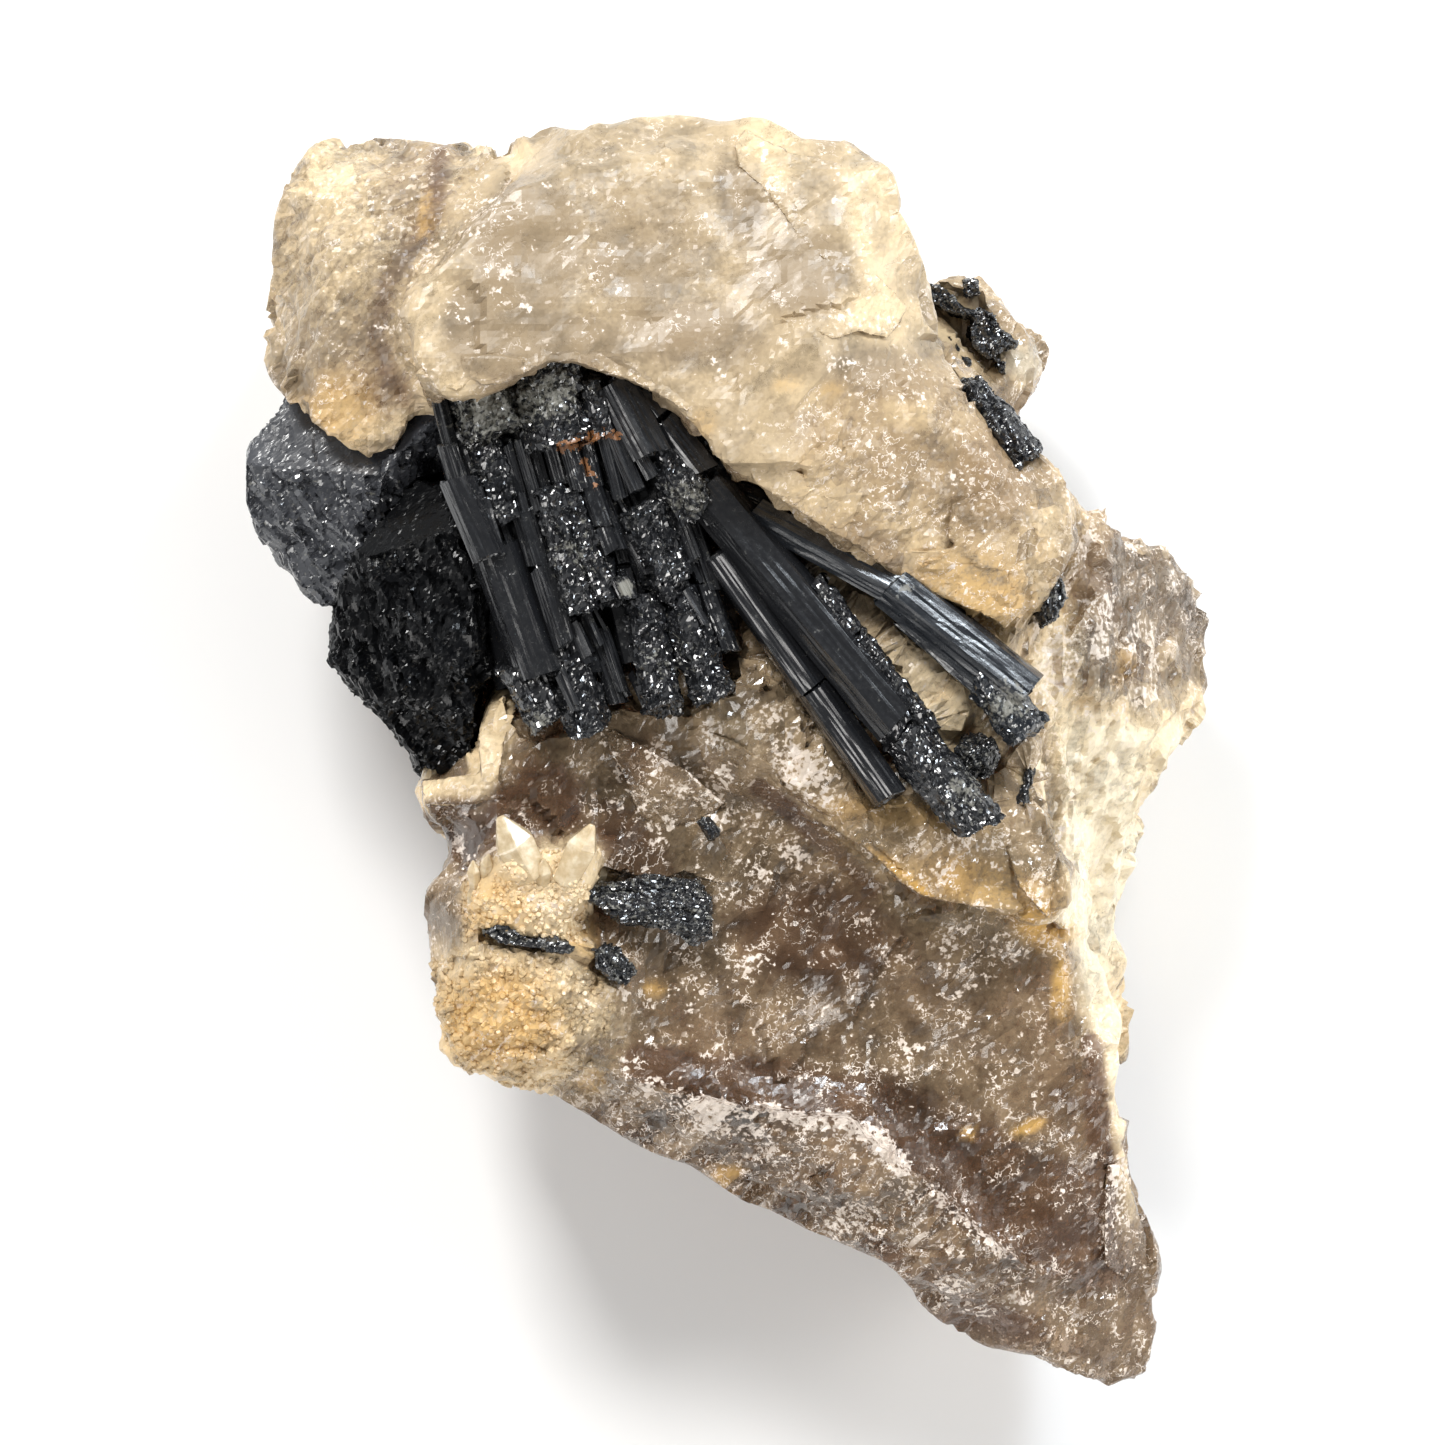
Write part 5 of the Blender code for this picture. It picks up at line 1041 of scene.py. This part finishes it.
def paint_quartz(bm, points, zone, high):
    """Paints how milky, smoky, amber, pale, pebbled, raised and glossy each part of the quartz is, and its painted
    shade and highlights.
    """
    xy, z, steep = zone["xy"], points[:, 2], zone["steep"]
    patch = np.array([noise.noise(Vector(p) * 0.16) for p in points])
    mottle = np.array([noise.noise(Vector(p) * 0.5 + Vector((7, 1, 3))) for p in points])
    cloudy = np.zeros(len(points))
    for i, p in enumerate(points):
        bent = Vector(p) + noise.noise_vector(Vector(p) * 0.22) * 2.0
        cloudy[i] = 0.5 + 0.42 * noise.fractal(bent * 0.5, 0.8, 2.0, 3)
    front = eased((z - 10) / 6) * (1 - 0.75 * steep)
    # The seams are painted shade along the foot of the steps: they add to the smoke and take from the pale.
    smoky, shade_seam = patched(xy, "smoke") * front, lined(xy, SHADE_SEAMS) * front
    stained = patched(xy, "amber") * front * (1 - 0.5 * np.clip(zone["crown"] + zone["shoulder"], 0, 1))
    milk = (0.95 * zone["crown"] + 0.90 * zone["horn"] + 0.88 * zone["shoulder"] + 1.05 * zone["flank"]
            + 0.90 * zone["dome"] + 1.05 * zone["druse"] + 0.55 * zone["body"] + 0.3 * zone["rear"])
    milk += 0.45 * zone["ground"] + 0.45 * zone["rim"] + 0.10 * zone["table"] + 0.05 * zone["lip"]
    milk += 0.20 * patch + 0.20 * mottle - 0.40 * zone["head"] - 0.10 * smoky
    smoke = 0.62 * zone["body"] * (1 - 0.9 * zone["rim"]) + 0.10 * zone["shoulder"] + 0.25 * zone["head"]
    smoke += 0.12 * zone["body"] * (1 - eased((xy[:, 1] + 18) / 12)) + 0.04 * zone["lip"]
    smoke += 0.60 * smoky + 0.7 * shade_seam - 0.2 * zone["rear"] - 0.45 * zone["ground"] - 0.15 * zone["table"] - 0.30 * zone["step"]
    # Painted shade on the horn along its groove beside the crown, laid on as smoke.
    smoke += 0.40 * inside(xy, GROOVE_SHADE, 1.6) * (1 - zone["crown"])
    pale = (0.24 * zone["crown"] + 0.36 * zone["horn"] + 0.12 * zone["shoulder"] + 1.45 * zone["flank"]
            + 0.70 * zone["dome"] + 0.95 * zone["druse"] + 0.48 * zone["body"] + 0.5 * zone["rim"]
            + 0.5 * zone["ground"] + 0.14 * zone["table"] - 1.25 * zone["head"] - 0.6 * shade_seam + 0.3 * zone["rear"])
    pale -= 0.5 * zone["flank"] * (1 - eased((z - 8) / 10)) + 0.25 * steep * zone["crown"]
    pale += 0.6 * patched(xy, "pale") + 0.2 * patch - 0.25 * smoky
    gloss = (0.45 + 0.40 * zone["body"] - 0.05 * zone["crown"] + 0.1 * zone["step"] - 0.6 * zone["ground"] - 0.3 * shade_seam
             + 0.2 * mottle)
    layers = {
        "milk": np.clip(milk, 0.05, 1.2), "smoke": np.clip(smoke + 0.15 * patch, 0, 1),
        "amber": np.clip(stained + 0.10 * zone["shoulder"] + 0.15 * zone["step"], 0, 1),
        "pale": np.clip(pale, 0, 1.8), "dim": patched(xy, "dim"),
        # The rims add to the veil both white quartz and a painted highlight on the crests.
        "veil": np.maximum(patched(xy, "veil"), lined(xy, WHITE_AND_LIT_RIMS)) * front,
        # high, the height of the relief, becomes painted shade in hollows and painted light on raised bits; it is made
        # stronger on the flank for the shade in its pits.
        "cloudy": cloudy, "high": np.clip(high * (2.2 + 2.2 * zone["flank"]), -1, 1), "gloss": np.clip(gloss, 0, 1),
        "pebbly": np.clip(zone["horn"] + zone["dome"] + zone["druse"] + zone["ground"] + 0.5 * zone["flank"], 0, 1),
        "rugged": np.clip(0.24 - 0.16 * zone["crown"] + 0.10 * zone["horn"] + 0.25 * zone["shoulder"]
                          + 0.46 * zone["flank"] + 0.45 * zone["ground"] + 0.2 * steep
                          + 0.20 * zone["dome"] + 0.10 * zone["body"] + 0.45 * zone["lip"]
                          + 0.16 * zone["table"], 0, 1),
        "threads": np.clip(0.10 + 0.45 * zone["body"] + 0.5 * zone["shoulder"] + 0.5 * zone["lip"]
                           + 0.15 * zone["horn"] + 0.4 * zone["head"] + 0.2 * zone["flank"], 0, 1.2),
    }
    for name, values in layers.items():
        paint(bm, name, values)


def prism_piece(ring, rise, width, depth, turn, rng, broken, groove):
    """One stretch of a prism along Z: a grooved six-sided bar with rough, slanting ends."""
    bm = bmesh.new()
    bmesh.ops.create_cone(bm, cap_ends=True, segments=ring, radius1=0.5, radius2=0.5, depth=rise)
    caps = [f for f in bm.faces if len(f.verts) > 4]
    for share in (0.10, 0.16, 0.22):
        bmesh.ops.inset_region(bm, faces=caps, thickness=share * 0.5, use_even_offset=False)
        caps = [f for f in bm.faces if len(f.verts) > 4]
    long_edges = [e for e in bm.edges if abs(e.verts[0].co.z - e.verts[1].co.z) > rise * 0.9]
    bmesh.ops.subdivide_edges(bm, edges=long_edges, cuts=max(2, int(rise / 0.40)))
    slants = [(rng.uniform(-0.35, 0.35), rng.uniform(-0.35, 0.35)) for _ in range(2)]
    wobble = rng.uniform(0, 90)
    grain = bm.verts.layers.float_vector.new("grain")
    worn = bm.verts.layers.float.new("broken")
    tilt = math.radians(turn)
    for v in bm.verts:
        angle = math.atan2(v.co.y, v.co.x) % math.tau
        reach = math.hypot(v.co.x, v.co.y) / 0.5
        corner = math.cos(math.pi / 6) / math.cos((angle % (math.pi / 3)) - math.pi / 6)
        radius = reach * corner * 0.5
        if reach > 0.97:
            line = Vector((angle * 9 * width, v.co.z * 0.22, wobble))
            radius += (noise.noise(line) + 0.6 * noise.noise(line * 2.3)) * groove / width
        end = abs(v.co.z) > rise * 0.499
        v[grain] = (angle * width * 0.6, v.co.z + wobble, wobble)
        v[worn] = max(broken, 0.9 if end and reach < 0.97 else 0.0)
        x = math.cos(angle - tilt) * radius * width * 1.08
        y = math.sin(angle - tilt) * radius * width * 1.08
        if end:
            slant = slants[0] if v.co.z < 0 else slants[1]
            v.co.z += slant[0] * x + slant[1] * y
            if reach < 0.97:
                v.co.z += 0.30 * chip(Vector((x + wobble, y, 0)), 0.6)
        v.co.x = x
        v.co.y = y if y > 0 else y * max(1.0, 2 * depth / width - 1)
    return bm


def column(row, seed, look, into, ring):
    """A prism laid from start to end and parted by cross-fractures. It is added to a mesh."""
    start, end, front, width, depth, broken, pieces, turn = row
    rng = random.Random(seed)
    along = Vector((end[0] - start[0], end[1] - start[1], 0))
    turned = along.to_track_quat("Z", "Y").to_matrix().to_4x4()
    breaks = sorted(rng.uniform(0.25, 0.75) for _ in range(pieces - 1))
    stops = [0.0] + breaks + [1.0]
    for low, high in zip(stops, stops[1:]):
        rise = (high - low) * along.length - 0.05
        if rise < 0.35:
            continue
        wide = width * rng.uniform(0.94, 1.03)
        bar = prism_piece(ring, rise, wide, depth, turn + rng.uniform(-4, 4), rng, broken, look.groove / MM)
        if broken > 0.5:
            bar = crumbled(bar, broken, rng.uniform(0, 90))
        middle = Vector((*start, 0)) + along * ((low + high) / 2)
        middle.z = front - 0.468 * wide + rng.uniform(-0.18, 0.10)
        middle += Vector((rng.uniform(-0.1, 0.1), rng.uniform(-0.1, 0.1), 0))
        tip = Matrix.Rotation(rng.uniform(-0.04, 0.04), 4, "X") @ Matrix.Rotation(rng.uniform(-0.05, 0.05), 4, "Z")
        bmesh.ops.transform(bar, matrix=Matrix.Translation(middle) @ turned @ tip, verts=bar.verts)
        absorb(into, bar)


def absorb(into, bm):
    """Adds one mesh to another."""
    mesh = bpy.data.meshes.new("part")
    bm.to_mesh(mesh)
    bm.free()
    into.from_mesh(mesh)
    bpy.data.meshes.remove(mesh)


def crumbled(bm, broken, wobble):
    """A bar whose faces have broken into granular chips."""
    bmesh.ops.recalc_face_normals(bm, faces=bm.faces)
    bm = reskinned(bm, 0.19)
    bm.normal_update()
    grain = bm.verts.layers.float_vector.new("grain")
    worn = bm.verts.layers.float.new("broken")
    for v in bm.verts:
        at = v.co + Vector((wobble, 0, wobble))
        v[grain] = (v.co.x + v.co.y, v.co.z, wobble)
        v[worn] = broken
        v.co += v.normal * broken * (0.42 * chip(at, 1.1, (1, 1, 0.6)) + 0.30 * chip(at, 0.55) - 0.05)
    return bm


def bundle(rows, seed, look):
    """Several columns as one mesh."""
    whole = bmesh.new()
    whole.verts.layers.float_vector.new("grain")
    whole.verts.layers.float.new("broken")
    for i, row in enumerate(rows):
        column(row, seed + i, look, whole, look.ring)
    return whole


def dusted(whole, dust, stains=(), spots=()):
    """Closes a bundle's caps and paints its dust and iron stains."""
    bmesh.ops.triangulate(whole, faces=[f for f in whole.faces if len(f.verts) > 4])
    bmesh.ops.recalc_face_normals(whole, faces=whole.faces)
    points = coordinates(whole)
    rust = sum((near(points, (x, y), radius) for x, y, radius in stains), np.zeros(len(points)))
    heap = sum((near(points, (x, y), radius) * much for x, y, radius, much in spots), np.zeros(len(points)))
    paint(whole, "dusty", np.clip(heap + dust, 0, 1))
    paint(whole, "rusty", np.clip(rust * 1.4, 0, 1))
    return whole


def splinters(look):
    """Thin prisms strewn in the gaps of the fan, leaning as their neighbours do."""
    rng = random.Random(7)
    rows = []
    while len(rows) < look.splinters:
        x, y = rng.uniform(-18, -1), rng.uniform(3, 24)
        if inside(np.array([[x, y]]), FAN_OUTLINE, 0.1)[0] < 0.5:
            continue
        lean = math.radians(16 + (x + 18) * 0.9 + rng.uniform(-3, 3))
        half = rng.uniform(0.7, 2.2)
        step = (math.sin(lean) * half, math.cos(lean) * half)
        rows.append(((x - step[0], y + step[1]), (x + step[0], y - step[1]), rng.uniform(33.9, 35.9),
                     rng.uniform(0.3, 0.85), 2.0, rng.choice((0.0, 0.0, 0.3)), 1, rng.uniform(-28, 28)))
    return rows


def dipping(dip, bearing):
    """The normal of a plane that dips by so many degrees towards a bearing."""
    dip, bearing = math.radians(dip), math.radians(bearing)
    return Vector((math.sin(dip) * math.cos(bearing), math.sin(dip) * math.sin(bearing), math.cos(dip)))


def cut_block(outline, back, front, faces):
    """A slab with flat faces cut on it."""
    bm = bmesh.new()
    base = bm.faces.new([bm.verts.new((x, y, back)) for x, y in outline])
    risen = bmesh.ops.extrude_face_region(bm, geom=[base])["geom"]
    bmesh.ops.translate(bm, vec=(0, 0, front - back), verts=[v for v in risen if isinstance(v, bmesh.types.BMVert)])
    for point, dip, bearing in faces:
        everything = bm.verts[:] + bm.edges[:] + bm.faces[:]
        cut = bmesh.ops.bisect_plane(bm, geom=everything, plane_co=point, plane_no=dipping(dip, bearing),
                                     clear_outer=True)
        edges = [e for e in cut["geom_cut"] if isinstance(e, bmesh.types.BMEdge)]
        if edges:
            bmesh.ops.contextual_create(bm, geom=edges)
    bmesh.ops.recalc_face_normals(bm, faces=bm.faces)
    return bm


def coarse_crystal(blocks, bright, direction, size, depth, voxel=0.19, worn=0.55):
    """A coarse crystal of cut blocks: long splinters and steps on it, but few on its bright facet."""
    whole = bmesh.new()
    for block in blocks:
        absorb(whole, cut_block(**block))
    bm = reskinned(whole, voxel)
    bm.normal_update()
    axis = Vector(direction).normalized()
    across = axis.orthogonal().normalized()
    third = axis.cross(across)
    grain = bm.verts.layers.float_vector.new("grain")
    broken = bm.verts.layers.float.new("broken")
    for v in bm.verts:
        local = Vector((v.co.dot(across), v.co.dot(axis), v.co.dot(third)))
        smooth = min(1.0, max(0.0, (v.normal.dot(bright) - 0.93) / 0.05))
        push = depth * chip(local, size, (1, 0.3, 1)) + depth * 0.6 * chip(local, size * 0.42, (1, 0.5, 1))
        push += depth * 0.8 * noise.noise(local * 0.5)
        v[grain] = (local.x + local.z, local.y, 0)
        v[broken] = (1 - smooth) * min(1.0, max(0.1, worn + noise.noise(v.co * 0.45) * 1.2))
        v.co += v.normal * push * (1 - 0.88 * smooth)
    return bm


def splinter_block(node, voxel, direction, size, depth):
    """A grain on its packed form, with splinters and steps along its length."""
    bm = reskinned(packed_copy(node), voxel)
    bm.normal_update()
    axis = Vector(direction).normalized()
    across = axis.orthogonal().normalized()
    third = axis.cross(across)
    grain = bm.verts.layers.float_vector.new("grain")
    broken = bm.verts.layers.float.new("broken")
    for v in bm.verts:
        local = Vector((v.co.dot(across), v.co.dot(axis), v.co.dot(third)))
        push = depth * chip(local, size, (1, 0.3, 1)) + depth * 0.5 * chip(local, size * 0.5, (1, 0.5, 1))
        v[grain] = (local.x + local.z, local.y, 0)
        v[broken] = min(1.0, max(0.3, 0.85 + noise.noise(v.co * 0.6) * 0.8))
        v.co += v.normal * push
    return bm


def pale_point(start, tip, front, width, depth, shoulder):
    """A small six-sided quartz crystal with a pointed end that starts at its shoulder."""
    along = Vector((tip[0] - start[0], tip[1] - start[1], 1.4))
    bm = bmesh.new()
    bmesh.ops.create_cone(bm, cap_ends=True, segments=6, radius1=0.40, radius2=0.5, depth=shoulder)
    top = max(bm.faces, key=lambda face: face.calc_center_median().z)
    risen = bmesh.ops.extrude_face_region(bm, geom=[top])["geom"]
    crest = [v for v in risen if isinstance(v, bmesh.types.BMVert)]
    bmesh.ops.delete(bm, geom=[top], context="FACES_ONLY")
    bmesh.ops.scale(bm, vec=(0.20, 0.14, 1), verts=crest)
    bmesh.ops.translate(bm, vec=(0, 0, 1 - shoulder), verts=crest)
    bmesh.ops.bevel(bm, geom=bm.edges[:], offset=0.02, offset_type="OFFSET", affect="EDGES", segments=1,
                    profile=0.5, material=-1)
    bmesh.ops.translate(bm, vec=(0, 0, (shoulder - 1) / 2), verts=bm.verts)
    bmesh.ops.scale(bm, vec=(width, depth, along.length), verts=bm.verts)
    middle = Vector(((start[0] + tip[0]) / 2, (start[1] + tip[1]) / 2, front - depth / 2))
    turned = along.to_track_quat("Z", "Y").to_matrix().to_4x4()
    bmesh.ops.transform(bm, matrix=Matrix.Translation(middle) @ turned, verts=bm.verts)
    return bm


def skin_height(skin, x, y):
    """The height of the quartz's skin, in millimetres, seen from straight above."""
    return skin.ray_cast(Vector((x, y, 60)) * MM, Vector((0, 0, -1)))[1].z / MM


def sugar(rows, skin):
    """The small stubby crystals that crowd on the crust, the dome and the left edge."""
    rng = random.Random(11)
    whole = bmesh.new()
    for outline, amount, smallest, largest in rows:
        low, high = np.min(outline, axis=0), np.max(outline, axis=0)
        spots = np.array([(rng.uniform(low[0], high[0]), rng.uniform(low[1], high[1])) for _ in range(amount * 3)])
        for x, y in spots[inside(spots, outline, 0.01) > 0.5][:amount]:
            size = rng.uniform(smallest, largest)
            if skin_height(skin, x, y) < 25:
                continue
            stub = bmesh.new()
            bmesh.ops.create_cone(stub, cap_ends=True, segments=6, radius1=size, radius2=size * 0.5,
                                  depth=size * 1.8)
            turn = Matrix.Rotation(rng.uniform(0, 6.28), 4, "Z") @ Matrix.Rotation(rng.uniform(-1.2, 1.2), 4, "X")
            place = Matrix.Translation((x, y, skin_height(skin, x, y) - size * 0.15))
            bmesh.ops.transform(stub, matrix=place @ turn, verts=stub.verts)
            absorb(whole, stub)
    points = coordinates(whole)
    # The grains' random lift is turned by the finish into painted shade and light.
    lift = np.array([0.4 * noise.noise(Vector(p) * 2.0) for p in points])
    paint_quartz(whole, points, quartz_zones(points, np.ones(len(points))), lift)
    return whole


class BuildSmokyQuartz(bpy.types.Operator):
    """Builds the smoky quartz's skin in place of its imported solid"""

    bl_idname = "specimen.build_smoky_quartz"
    bl_label = "Smoky Quartz"

    def execute(self, context):
        look = context.scene.specimen_quartz
        finish = smoky_quartz_finish(look)
        skin = finished("quartz_skin", quartz_skin(look), finish, [QUARTZ_NODE])
        context.view_layer.update()
        finished("quartz_shards", quartz_shards(skin), finish)
        return {"FINISHED"}


class BuildPalePoints(bpy.types.Operator):
    """Builds the pale points that stand in the crust"""

    bl_idname = "specimen.build_pale_points"
    bl_label = "Pale Points"

    def execute(self, context):
        skin = bpy.data.objects["quartz_skin"]
        whole = bmesh.new()
        for start, tip, lift, width, depth, shoulder in PALE_POINTS:
            front = skin_height(skin, *start) + lift
            absorb(whole, pale_point(start, tip, front, width, depth, shoulder))
        bmesh.ops.recalc_face_normals(whole, faces=whole.faces)
        finished("pale_points", whole, pale_quartz_finish(context.scene.specimen_quartz))
        finished("quartz_sugar", sugar(SUGAR, skin), bpy.data.materials["clear_smoky_quartz"])
        return {"FINISHED"}


class BuildSchorlFan(bpy.types.Operator):
    """Builds the fan of striated prisms"""

    bl_idname = "specimen.build_schorl_fan"
    bl_label = "Schorl Fan"

    def execute(self, context):
        look = context.scene.specimen_schorl
        whole = bundle(FAN_CORE + FAN, 100, look)
        for i, row in enumerate(splinters(look)):
            column(row, 700 + i, look, whole, 12)
        whole = dusted(whole, 0.10, STAINS, DUSTY)
        finished("fan_prisms", whole, schorl_finish("striated_schorl", look, 1.75), ["schorl_fan"])
        return {"FINISHED"}


class BuildSchorlRods(bpy.types.Operator):
    """Builds the pair of long rods and the blue rod beside them"""

    bl_idname = "specimen.build_schorl_rods"
    bl_label = "Schorl Rods"

    def execute(self, context):
        look = context.scene.specimen_schorl
        black = bpy.data.materials["striated_schorl"]
        # Painted reflection: the blue rod's black is tinted bluer and a little lighter, for the blue-grey sheen that
        # its faces reflect.
        blue = schorl_finish("blue_sheen_schorl", look, 1.86, (1.2, 1.35, 1.5))
        for name, rows, seed, node, finish in (("rod_pair_prisms", ROD_PAIR, 300, "schorl_rod_pair", black),
                                               ("blue_rod_prisms", BLUE_ROD, 400, "schorl_blue_rod", blue)):
            spots = [(14.6, -2.6, 3.0, 0.3), (17.2, 3.0, 2.6, 0.45), (10.6, 10.6, 1.6, 0.3)]
            finished(name, dusted(bundle(rows, seed, look), 0.10, (), spots), finish, [node])
        return {"FINISHED"}


class BuildSchorlBlocks(bpy.types.Operator):
    """Builds the two coarse crystals at the left edge and the small grains"""

    bl_idname = "specimen.build_schorl_blocks"
    bl_label = "Coarse Schorl and Grains"

    def execute(self, context):
        look = context.scene.specimen_schorl
        finish = bpy.data.materials["striated_schorl"]
        # Painted shade: the lower crystal lies in shade, so its finish darkens the black to 0.4 of fresh schorl and
        # lowers its luster.
        shaded_black = schorl_finish("shaded_schorl", look, 1.30, (0.4, 0.4, 0.4))
        side = coarse_crystal(SIDE_CRYSTAL, dipping(28, 122), (0.55, -0.82, -0.10), 1.5, 0.55, worn=0.8)
        # Partly painted sheen: the side crystal's black is lifted 4.6 times to a dark grey, for the grey sheen of its
        # broken faces as well as their grey surface.
        grey_sheen = schorl_finish("grey_sheen_schorl", look, 1.62, (4.6, 4.6, 4.6))
        finished("side_crystal_skin", dusted(side, 0.14), grey_sheen, ["schorl_side_crystal"])
        lower = coarse_crystal(LOWER_CRYSTAL, dipping(40, 128), (0.42, -0.90, -0.10), 1.1, 0.60, worn=0.3)
        finished("lower_crystal_skin", dusted(lower, 0.02), shaded_black, ["schorl_lower_crystal"])
        for node, outline, back, front, faces, direction in CUT_GRAINS:
            block = dict(outline=outline, back=back, front=front, faces=faces)
            bm = coarse_crystal([block], Vector((0, 0, -1)), direction, 0.55, 0.30, 0.10)
            finished(node.replace("schorl_", "") + "_skin", dusted(bm, 0.28), finish, [node])
        low, high = (corner / MM for corner in (Vector(c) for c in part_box("schorl_back_grains")))
        rear = [dict(outline=outline, back=low.z, front=high.z, faces=[]) for outline in REAR_GRAINS]
        bm = coarse_crystal(rear, Vector((0, 0, -1)), (0.5, -0.7, 0.4), 0.6, 0.3, 0.12)
        finished("back_grains_skin", dusted(bm, 0.2), finish, ["schorl_back_grains"])
        for node, voxel, direction, size, depth in BLOCKS:
            bm = splinter_block(node, voxel, direction, size, depth)
            finished(node.replace("schorl_", "") + "_skin", dusted(bm, 0.2), finish, [node])
        return {"FINISHED"}


class BuildStage(bpy.types.Operator):
    """Adds the floor, the lights and the camera that looks straight down"""

    bl_idname = "specimen.build_stage"
    bl_label = "Stage"

    def execute(self, context):
        look = context.scene.specimen_stage
        bm = bmesh.new()
        bmesh.ops.create_grid(bm, x_segments=1, y_segments=1, size=1.5)
        mesh = bpy.data.meshes.new("floor")
        bm.to_mesh(mesh)
        bm.free()
        mesh.materials.append(plain_finish("floor_paint", look.floor, 0.6))
        floor = bpy.data.objects.new("floor", mesh)
        context.scene.collection.objects.link(floor)

        middle = Vector(((PHOTO_SIZE / 2 - PHOTO_ORIGIN[0]) / PHOTO_SCALE,
                         (PHOTO_ORIGIN[1] - PHOTO_SIZE / 2) / PHOTO_SCALE, MID_HEIGHT)) * MM
        lens = bpy.data.cameras.new("photo_camera")
        lens.lens = lens.sensor_width * look.distance / (PHOTO_SIZE / PHOTO_SCALE * MM)
        camera = bpy.data.objects.new("photo_camera", lens)
        camera.location = middle + Vector((0, 0, look.distance))
        context.scene.collection.objects.link(camera)
        context.scene.camera = camera

        self.lamp(context, "key", (-0.20, 0.44, 0.56), 0.17, look.key, (1.0, 0.99, 0.97))
        self.lamp(context, "cool_side", (0.27, 0.46, 0.45), 0.17, look.key * 0.75, (0.84, 0.92, 1.0))
        self.lamp(context, "right", (0.62, 0.02, 0.34), 0.24, look.key * 0.45, (1.0, 0.98, 0.94))
        self.lamp(context, "fill", (-0.42, -0.33, 0.48), 0.26, look.key * 0.35, (1.0, 0.98, 0.95))
        self.lamp(context, "low", (0.30, -0.50, 0.40), 0.20, look.key * 0.20, (1.0, 0.97, 0.94))

        sky = Finish("soft_sky", bpy.data.worlds.new("soft_sky"))
        height = sky.node("ShaderNodeSeparateXYZ", None, {0: sky.node("ShaderNodeTexCoord")}, 2)
        strength = (1 - sky.rise(height, 0.60, 0.90)) * (look.sky - look.ceiling) + look.ceiling
        light = sky.node("ShaderNodeBackground", None, {"Color": (0.97, 0.985, 1.0, 1), "Strength": strength})
        sky.node("ShaderNodeOutputWorld", None, {"Surface": light}, None)
        context.scene.world = sky.owner
        context.scene.view_settings.view_transform = "Standard"
        return {"FINISHED"}

    def lamp(self, context, name, place, size, power, colour):
        """A square soft lamp that faces the specimen."""
        light = bpy.data.lights.new(name, "AREA")
        light.size = size
        light.energy = power
        light.color = colour
        lamp = bpy.data.objects.new(name, light)
        lamp.location = place
        aim = Vector((0, 0, MID_HEIGHT * MM)) - Vector(place)
        lamp.rotation_euler = aim.to_track_quat("-Z", "Y").to_euler()
        context.scene.collection.objects.link(lamp)


class SpecimenPanel(bpy.types.Panel):
    """Lists the specimen's settings and the steps that build it"""

    bl_idname = "VIEW3D_PT_specimen"
    bl_label = "Schorl on Smoky Quartz"
    bl_space_type = "VIEW_3D"
    bl_region_type = "UI"
    bl_category = "Specimen"

    def draw(self, context):
        for group in ("specimen_quartz", "specimen_schorl", "specimen_stage"):
            settings = getattr(context.scene, group)
            box = self.layout.box()
            for name in settings.bl_rna.properties.keys():
                if name not in ("rna_type", "name"):
                    box.prop(settings, name)
        for step in STEPS:
            self.layout.operator(step.bl_idname)


STEPS = (BuildStage, BuildSchorlFan, BuildSchorlRods, BuildSchorlBlocks, BuildSmokyQuartz,
         BuildPalePoints)
CLASSES = (QuartzLook, SchorlLook, StageLook, *STEPS, SpecimenPanel)


def register():
    for cls in CLASSES:
        bpy.utils.register_class(cls)
    bpy.types.Scene.specimen_quartz = PointerProperty(type=QuartzLook)
    bpy.types.Scene.specimen_schorl = PointerProperty(type=SchorlLook)
    bpy.types.Scene.specimen_stage = PointerProperty(type=StageLook)


def unregister():
    del bpy.types.Scene.specimen_stage
    del bpy.types.Scene.specimen_schorl
    del bpy.types.Scene.specimen_quartz
    for cls in reversed(CLASSES):
        bpy.utils.unregister_class(cls)


def main():
    register()
    bpy.ops.specimen.build_stage()
    bpy.ops.specimen.build_schorl_fan()
    bpy.ops.specimen.build_schorl_rods()
    bpy.ops.specimen.build_schorl_blocks()
    bpy.ops.specimen.build_smoky_quartz()
    bpy.ops.specimen.build_pale_points()


if __name__ == "__main__":
    main()
